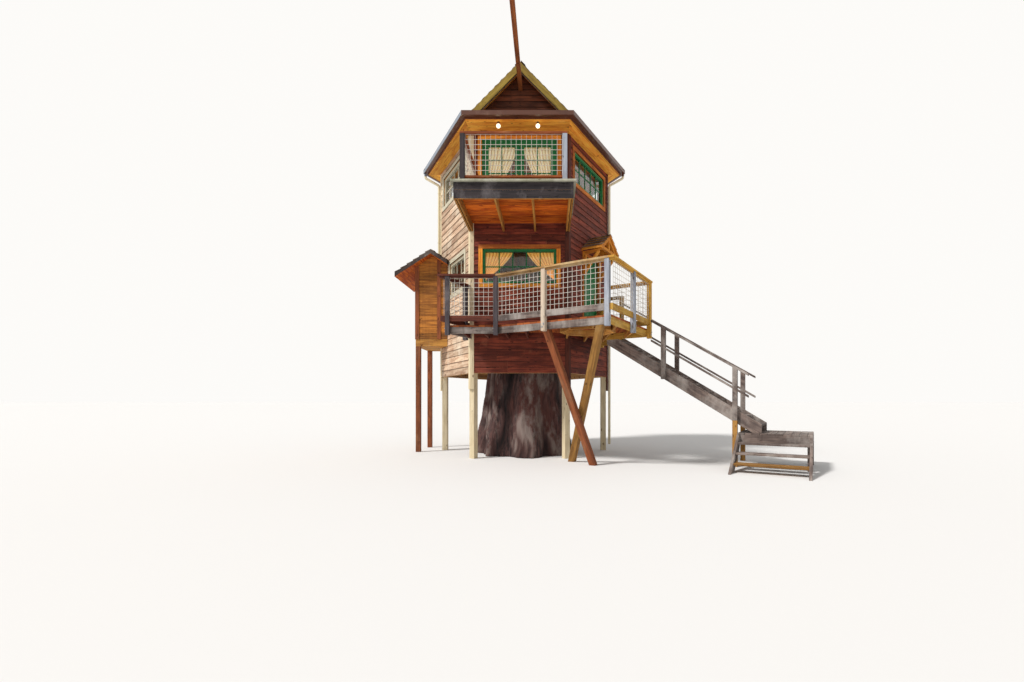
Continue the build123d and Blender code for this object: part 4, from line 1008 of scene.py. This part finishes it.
def panel_frame(faces):
    """The middle, the direction along, the facing and the half sizes of an upright flat panel."""
    verts = {v for face in faces for v in face.verts}
    widest = max(faces, key=lambda f: f.calc_area() * (abs(f.normal.z) < SQUARE))
    facing = Vector((widest.normal.x, widest.normal.y, 0)).normalized()
    middle = sum((v.co for v in verts), Vector()) / len(verts)
    if facing.dot(middle) < 0:
        facing = -facing
    axes = (UP.cross(facing), UP, facing)
    reaches = [(min(v.co.dot(axis) for v in verts), max(v.co.dot(axis) for v in verts)) for axis in axes]
    middle = sum((axis * (start + end) for axis, (start, end) in zip(axes, reaches)), Vector()) / 2
    half_long, half_high, _ = ((end - start) / 2 for start, end in reaches)
    return middle, axes[0], facing, half_long, half_high


def lattice(node, steps, least, wide, deep, level_deep, offset=0.0, ends=0):
    """Upright and level sticks at even steps over each panel of a CAD node; with ends at 1, on its edges too."""
    panels = copied(node)
    bm = bmesh.new()
    for faces in separate_solids(panels):
        middle, along, facing, half_long, half_high = panel_frame(faces)
        uprights = (along, half_long, steps[0], UP * half_high, deep, -offset)
        levels = (UP, half_high, steps[1], along * half_long, level_deep, offset)
        for across, half, step, reach, depth, shift in (uprights, levels):
            count = max(least, round(2 * half / step))
            for number in range(1 - ends, count + ends):
                place = middle + across * ((number / count * 2 - 1) * (half - ends * wide / 2)) + facing * shift
                bar(bm, place - reach, place + reach, wide, depth, facing)
    panels.free()
    return bm


for mesh_node in ("balcony_mesh", "deck_mesh_left", "deck_mesh_front", "deck_mesh_right"):
    wires = lattice(mesh_node, (WIRE_PITCH, WIRE_PITCH), 1, WIRE_THICK, WIRE_THICK, WIRE_THICK,
                    WIRE_SET, ends=1)
    piece(mesh_node + "_wires", wires, ZINC_WIRE, "mesh_steel", mesh_node)
for storey in ("lower", "upper"):
    bars = lattice(storey + "_glass", (PANE_WIDE, PANE_TALL), 2, MUNTIN_WIDE, MUNTIN_DEEP, MUNTIN_LEVEL)
    wooden_piece(storey + "_window_bars", bars, [GREEN_FRAME, PALE_FRAME], "green_paint", pick=left_side)
    glass = cad[storey + "_glass"].data
    glass.materials.clear()
    glass.materials.append(CLEAR_GLASS)

# --- Curtains ---

FOLD_STEPS = 8
FOLD_SAMPLES = 64
DEEPEST_FOLD = 0.2
HALVINGS = 30
ROW_STEPS = 40
SWEEP_STEPS = 60
SWEEP_BEND = 1.5
CURTAIN_GAP = 0.055
ROD_THICK = 0.020
ROD_LONG = 2.0
ROD_DROP = 0.012
ROD_HOLDERS = 0.97
HOLDER_WIDE = 0.012
HOLDER_DEEP = 0.03
WINDOW_FLAT = (1.25, 1.08)
DOOR_FLAT = (1.45, 1.93)
WINDOW_SPAN = (0.90, 0.14)
WINDOW_TIED = (0.88, 0.80)
WINDOW_FOLDS = 9
WINDOW_TIE = 4.22
DOOR_SPAN = (0.93, 0.04)
DOOR_TIED = (0.90, 0.78)
DOOR_FOLDS = 11
DOOR_TIE = 5.95


def fold_depth(width, flat_width, folds):
    """How deep even folds are when cloth of the flat width hangs in this width."""
    slopes = [2 * math.pi * folds * math.cos(2 * math.pi * (step + 0.5) / FOLD_SAMPLES)
              for step in range(FOLD_SAMPLES)]
    shallow, deep = 0.0, DEEPEST_FOLD
    for _ in range(HALVINGS):
        depth = (shallow + deep) / 2
        if sum(math.hypot(width, depth * slope) for slope in slopes) / FOLD_SAMPLES < flat_width:
            shallow = depth
        else:
            deep = depth
    return depth


def curtain_drop(head, tie, flat_long):
    """Points at equal steps down a strand that sweeps from the head to the tie and then hangs plumb."""
    sweep = []
    for count in range(SWEEP_STEPS + 1):
        share = count / SWEEP_STEPS
        sweep.append(Vector((head[0] + (tie[0] - head[0]) * share ** SWEEP_BEND,
                             head[1] + (tie[1] - head[1]) * share)))
    strand, walked, step = [sweep[0]], 0.0, flat_long / ROW_STEPS
    wanted = step
    for here, there in zip(sweep, sweep[1:]):
        length = (there - here).length
        while wanted <= walked + length and len(strand) <= ROW_STEPS:
            strand.append(here.lerp(there, (wanted - walked) / length))
            wanted += step
        walked += length
    while len(strand) <= ROW_STEPS:
        strand.append(Vector((tie[0], tie[1] - (wanted - walked))))
        wanted += step
    return strand


def tied_curtain(name, hand, head, tie, flat, folds, cloth):
    """One side of a pair: pleated at the head, drawn to the side and tied, with its tail hanging below."""
    columns = folds * FOLD_STEPS
    strands = []
    for column in range(columns + 1):
        share = column / columns
        strands.append(curtain_drop((head[0] + (head[1] - head[0]) * share, head[2]),
                                    (tie[0] + (tie[1] - tie[0]) * share, tie[2]), flat[1]))
    bm = bmesh.new()
    bmesh.ops.create_grid(bm, x_segments=columns, y_segments=ROW_STEPS, size=1)
    cloth_map = bm.loops.layers.uv.new("cloth")
    in_fold = bm.verts.layers.float.new("fold")
    depths = [fold_depth(abs(last.x - first.x), flat[0], folds) for first, last in zip(strands[0], strands[-1])]
    cells = {v: (round((v.co.x + 1) / 2 * columns), round((1 - v.co.y) / 2 * ROW_STEPS)) for v in bm.verts}
    for v, (column, row) in cells.items():
        place = strands[column][row]
        wave = math.sin(2 * math.pi * column / FOLD_STEPS)
        v[in_fold] = (1 + wave) / 2
        v.co = Vector((hand * place.x, CURTAIN_LINE + depths[row] * wave, place.y))
    for face in bm.faces:
        face.smooth = True
        for loop in face.loops:
            column, row = cells[loop.vert]
            loop[cloth_map].uv = (column / columns * flat[0], row / ROW_STEPS * flat[1])
    bmesh.ops.recalc_face_normals(bm, faces=bm.faces[:])
    made = piece(name, bm, cloth, None)


INSIDE_FACE = high("front_wall").y
CURTAIN_LINE = INSIDE_FACE + CURTAIN_GAP
WINDOW_HEAD = high("lower_glass").z + 0.10
DOOR_HEAD = high("balcony_doors").z + 0.03
rods = bmesh.new()
for level in (WINDOW_HEAD - ROD_DROP, DOOR_HEAD - ROD_DROP):
    along_wall = Matrix.Translation((0, CURTAIN_LINE, level)) @ Matrix.Rotation(math.radians(90), 4, "Y")
    bmesh.ops.create_cone(rods, cap_ends=True, segments=16, radius1=ROD_THICK / 2, radius2=ROD_THICK / 2,
                          depth=ROD_LONG, matrix=along_wall)
    for hand in (-1, 1):
        holder = Vector((hand * ROD_HOLDERS, INSIDE_FACE, level))
        bar(rods, holder, holder + Y_AXIS * CURTAIN_GAP, HOLDER_WIDE, HOLDER_DEEP, UP)
piece("curtain_rods", rods, BRASS, None)
for side_name, hand in (("left", -1), ("right", 1)):
    tied_curtain("window_curtain_" + side_name, hand, (*WINDOW_SPAN, WINDOW_HEAD), (*WINDOW_TIED, WINDOW_TIE),
                 WINDOW_FLAT, WINDOW_FOLDS, GOLD_CURTAIN)
    tied_curtain("door_curtain_" + side_name, hand, (*DOOR_SPAN, DOOR_HEAD), (*DOOR_TIED, DOOR_TIE),
                 DOOR_FLAT, DOOR_FOLDS, CREAM_CURTAIN)

# --- Stump ---

BARK_COLUMNS = 360
BARK_ROWS = 66
BARK_ENDS = 0.002
BARK_WELD = 0.0005
FURROW_DEEP = 0.10
RAY_START = 4


def bark_hollow(bearing, level):
    """0 on a rib and 1 in a furrow: long furrows that wander down the trunk, broken by finer ones."""
    around = Vector((math.cos(bearing), math.sin(bearing), 0))
    wander = noise.noise(Vector((around.x, around.y, level * 1.3)) * 1.5) * 0.35
    broad = noise.noise(around * 3.0 + Vector((wander, 0, level * 0.30)))
    narrow = noise.noise(around * 13.0 + Vector((wander * 3, 4, level * 0.9)))
    fine = noise.noise(around * 40.0 + Vector((0, 9, level * 2.6)))
    rib = 0.62 * min(1.0, abs(broad) * 3.2) + 0.26 * min(1.0, abs(narrow) * 2.6) + 0.12 * (fine + 0.5)
    return 1 - min(1.0, rib)


def barked_stump():
    """The CAD stump's own surface, furrowed inwards like old bark."""
    solid = copied("stump")
    surface = bvhtree.BVHTree.FromBMesh(solid)
    foot, top = low("stump").z + BARK_ENDS, high("stump").z - BARK_ENDS
    bm = bmesh.new()
    bmesh.ops.create_grid(bm, x_segments=BARK_COLUMNS, y_segments=BARK_ROWS, size=1)
    hollow = bm.verts.layers.float.new("hollow")
    for v in bm.verts:
        bearing = (v.co.x + 1) * math.pi
        level = foot + (v.co.y + 1) / 2 * (top - foot)
        inward = Vector((-math.cos(bearing), -math.sin(bearing), 0))
        struck = surface.ray_cast(Vector((0, 0, level)) - inward * RAY_START, inward)[0]
        share = bark_hollow(bearing, level)
        v[hollow] = share
        v.co = struck + inward * FURROW_DEEP * share
    bmesh.ops.remove_doubles(bm, verts=bm.verts[:], dist=BARK_WELD)
    bmesh.ops.holes_fill(bm, edges=[e for e in bm.edges if e.is_boundary], sides=0)
    bmesh.ops.recalc_face_normals(bm, faces=bm.faces[:])
    for face in bm.faces:
        face.smooth = len(face.verts) <= 4
    solid.free()
    return piece("bark", bm, BARK, "stump_wood", "stump")


barked_stump()

# --- Fittings, in metres ---

BOLT_ACROSS = 0.026
BOLT_HIGH = 0.011
BOLT_SHIFT = 0.018
LOW_BOLT_UP = 0.045
HIGH_BOLT_DOWN = 0.040
WASHER_ACROSS = 0.044
WASHER_THICK = 0.003
PLATE_HALF = 0.10
PLATE_WIDE = 0.036
PLATE_THICK = 0.006
NECK_ACROSS = 0.018
NECK_LONG = 0.045
LEVER_OUT = 0.042
LEVER_TAIL = 0.008
LEVER_LONG = 0.11
LEVER_WIDE = 0.018
LEVER_THICK = 0.012
HANDLE_HIGH = 1.02
HANDLE_IN = 0.055
LEAF_INSET = 0.012
STILE_MIDDLE = 0.052
STILE = 0.10
STILE_SHARE = STILE * 1.25
PANEL_OUT = STILE * 0.25
PANEL_THICK = 0.020
PANEL_EDGE = 0.008
CLIP_FIRST = 0.35
CLIP_STEP = 1.35
CLIP_TOP = 7.1
CLIP_WIDE = 0.030
CLIP_THICK = 0.004
RING_HIGH = 0.01


def disc(bm, point, facing, across, high, sides):
    turned = Matrix.Translation(point + facing * high / 2) @ facing.to_track_quat("Z", "Y").to_matrix().to_4x4()
    bmesh.ops.create_cone(bm, cap_ends=True, segments=sides, radius1=across / 2, radius2=across / 2, depth=high,
                          matrix=turned)


def post_bolts():
    """Two coach bolts with washers through the outer face of each deck post into the rim."""
    posts = copied("deck_posts")
    rim_foot, rim_top = low("deck_rim"), high("deck_rim")
    deck_middle = (rim_foot + rim_top) / 2
    bm = bmesh.new()
    for faces in separate_solids(posts):
        if min(v.co.z for face in faces for v in face.verts) > rim_foot.z:
            continue
        outward = centre_of(faces) - deck_middle
        outer = max((f for f in faces if abs(f.normal.z) < SQUARE), key=lambda f: f.normal.dot(outward))
        across = UP.cross(outer.normal)
        middle = outer.calc_center_median()
        for level, shift in ((rim_foot.z + LOW_BOLT_UP, -BOLT_SHIFT), (rim_top.z - HIGH_BOLT_DOWN, BOLT_SHIFT)):
            point = Vector((middle.x, middle.y, level)) + across * shift
            disc(bm, point, outer.normal, WASHER_ACROSS, WASHER_THICK, 16)
            disc(bm, point + outer.normal * WASHER_THICK, outer.normal, BOLT_ACROSS, BOLT_HIGH, 6)
    posts.free()
    return piece("deck_post_bolts", bm, GALVANISED, "mesh_steel")


def lever_handle(bm, point, facing, hand):
    """A back plate, a turned neck and a lever."""
    across = UP.cross(facing) * hand
    bar(bm, point - UP * PLATE_HALF, point + UP * PLATE_HALF, PLATE_WIDE, PLATE_THICK, facing)
    disc(bm, point + facing * PLATE_THICK / 2, facing, NECK_ACROSS, NECK_LONG, 16)
    lever = point + facing * LEVER_OUT
    bar(bm, lever - across * LEVER_TAIL, lever + across * LEVER_LONG, LEVER_WIDE, LEVER_THICK, facing)


def door_panels():
    """Raised panels on the entry door's leaf, with a lever handle there and on each balcony door."""
    door = copied("entry_door")
    leaf = max((f for f in door.faces if f.normal.dot(side_normal(1)) > SAME_WAY), key=lambda f: f.calc_area())
    middle, across, facing, half, half_high = panel_frame([leaf])
    door.free()
    foot, head = -half_high, half_high
    panel_wide = half - STILE_SHARE
    rows = ((foot + 0.20, foot + 0.75), (foot + 0.85, head - 0.62), (head - 0.52, head - 0.12))
    panels = bmesh.new()
    for row_foot, row_head in rows:
        for hand in (-1, 1):
            line = middle + across * hand * (panel_wide / 2 + PANEL_OUT)
            bar(panels, line + UP * row_foot, line + UP * row_head, panel_wide, PANEL_THICK, facing)
    eased(panels, PANEL_EDGE)
    wooden_piece("entry_door_panels", panels, GREEN_FRAME, "green_paint", draw=random.Random("panels"))
    handles = bmesh.new()
    lever_handle(handles, middle + across * (half - HANDLE_IN) + UP * (foot + HANDLE_HIGH), facing, -1)
    balcony_leaf = low("balcony_doors") + Y_AXIS * LEAF_INSET + UP * HANDLE_HIGH
    for hand in (-1, 1):
        balcony_leaf.x = hand * STILE_MIDDLE
        lever_handle(handles, balcony_leaf, -Y_AXIS, hand)
    piece("door_handles", handles, BRASS, None)


def pipe_clips():
    """Bands that hold the rain pipes to the walls."""
    pipes = copied("gutters")
    bm = bmesh.new()
    for hand in (-1, 1):
        beside = [v.co for v in pipes.verts if v.co.x * hand > 0]
        foot = min(co.z for co in beside)
        ring = [co for co in beside if co.z < foot + RING_HIGH]
        middle = sum(ring, Vector()) / len(ring)
        across = max(co.x for co in ring) - min(co.x for co in ring)
        level = foot + CLIP_FIRST
        while level < CLIP_TOP:
            disc(bm, Vector((middle.x, middle.y, level)), UP, across + 2 * CLIP_THICK, CLIP_WIDE, 24)
            level += CLIP_STEP
    pipes.free()
    return piece("pipe_clips", bm, CREAM_PIPE, "gutter_paint")


post_bolts()
door_panels()
pipe_clips()

# --- Stage, light and camera ---

STAGE_HALF = 300
STAGE_GREY = (0.82, 0.82, 0.82, 1)
BACKDROP = (0.990, 0.976, 0.951, 1)
SKY_LIGHT = 0.49
SKY_SHOWN = 0.99
SUN_STRENGTH = 3.0
SUN_COLOUR = (1.0, 0.97, 0.93)
SUN_SPREAD = 9
SUN_TOWARDS = (9, 5, -11)
EYE = Vector((0.71, -12.88, 1.37))
FOCAL = 468
PICTURE_WIDE = 1024
SENSOR = 36.0
LENS_SHIFT = (-0.0371, 0.0576)


def placed(name, data):
    """A new object in the scene that holds the data."""
    made = bpy.data.objects.new(name, data)
    bpy.context.scene.collection.objects.link(made)
    return made


ground = bmesh.new()
bmesh.ops.create_grid(ground, x_segments=1, y_segments=1, size=STAGE_HALF)
floor_mesh = bpy.data.meshes.new("studio_floor")
ground.to_mesh(floor_mesh)
ground.free()
floor_finish, floor_tree, floor_shader = new_material("Pale studio floor")
feed_named(floor_tree, floor_shader, {"Base Color": STAGE_GREY, "Roughness": 0.9})
floor_mesh.materials.append(floor_finish)
placed("studio_floor", floor_mesh)

world = bpy.data.worlds.new("Studio sky")
bpy.context.scene.world = world
world.use_nodes = True
sky = world.node_tree
seen = add_node(sky, "LightPath")
shown = maths(sky, "MAXIMUM", seen.outputs["Is Camera Ray"],
              maths(sky, "MAXIMUM", seen.outputs["Is Glossy Ray"], seen.outputs["Is Transmission Ray"]))
strength = spread(sky, shown, 0, 1, SKY_LIGHT, SKY_SHOWN)
feed_named(sky, sky.nodes["Background"], {"Color": BACKDROP, "Strength": strength})

sun = bpy.data.lights.new("soft_sun", "SUN")
sun.energy = SUN_STRENGTH
sun.color = SUN_COLOUR
sun.angle = math.radians(SUN_SPREAD)
placed("soft_sun", sun).rotation_euler = Vector(SUN_TOWARDS).to_track_quat("-Z", "Y").to_euler()

lens = bpy.data.cameras.new("photograph")
lens.sensor_width = SENSOR
lens.lens = FOCAL / PICTURE_WIDE * SENSOR
lens.shift_x, lens.shift_y = LENS_SHIFT
lens.clip_end = 500
camera = placed("photograph", lens)
camera.location = EYE
camera.rotation_euler = (math.radians(90), 0, 0)
bpy.context.scene.camera = camera
bpy.context.scene.view_settings.view_transform = "Standard"
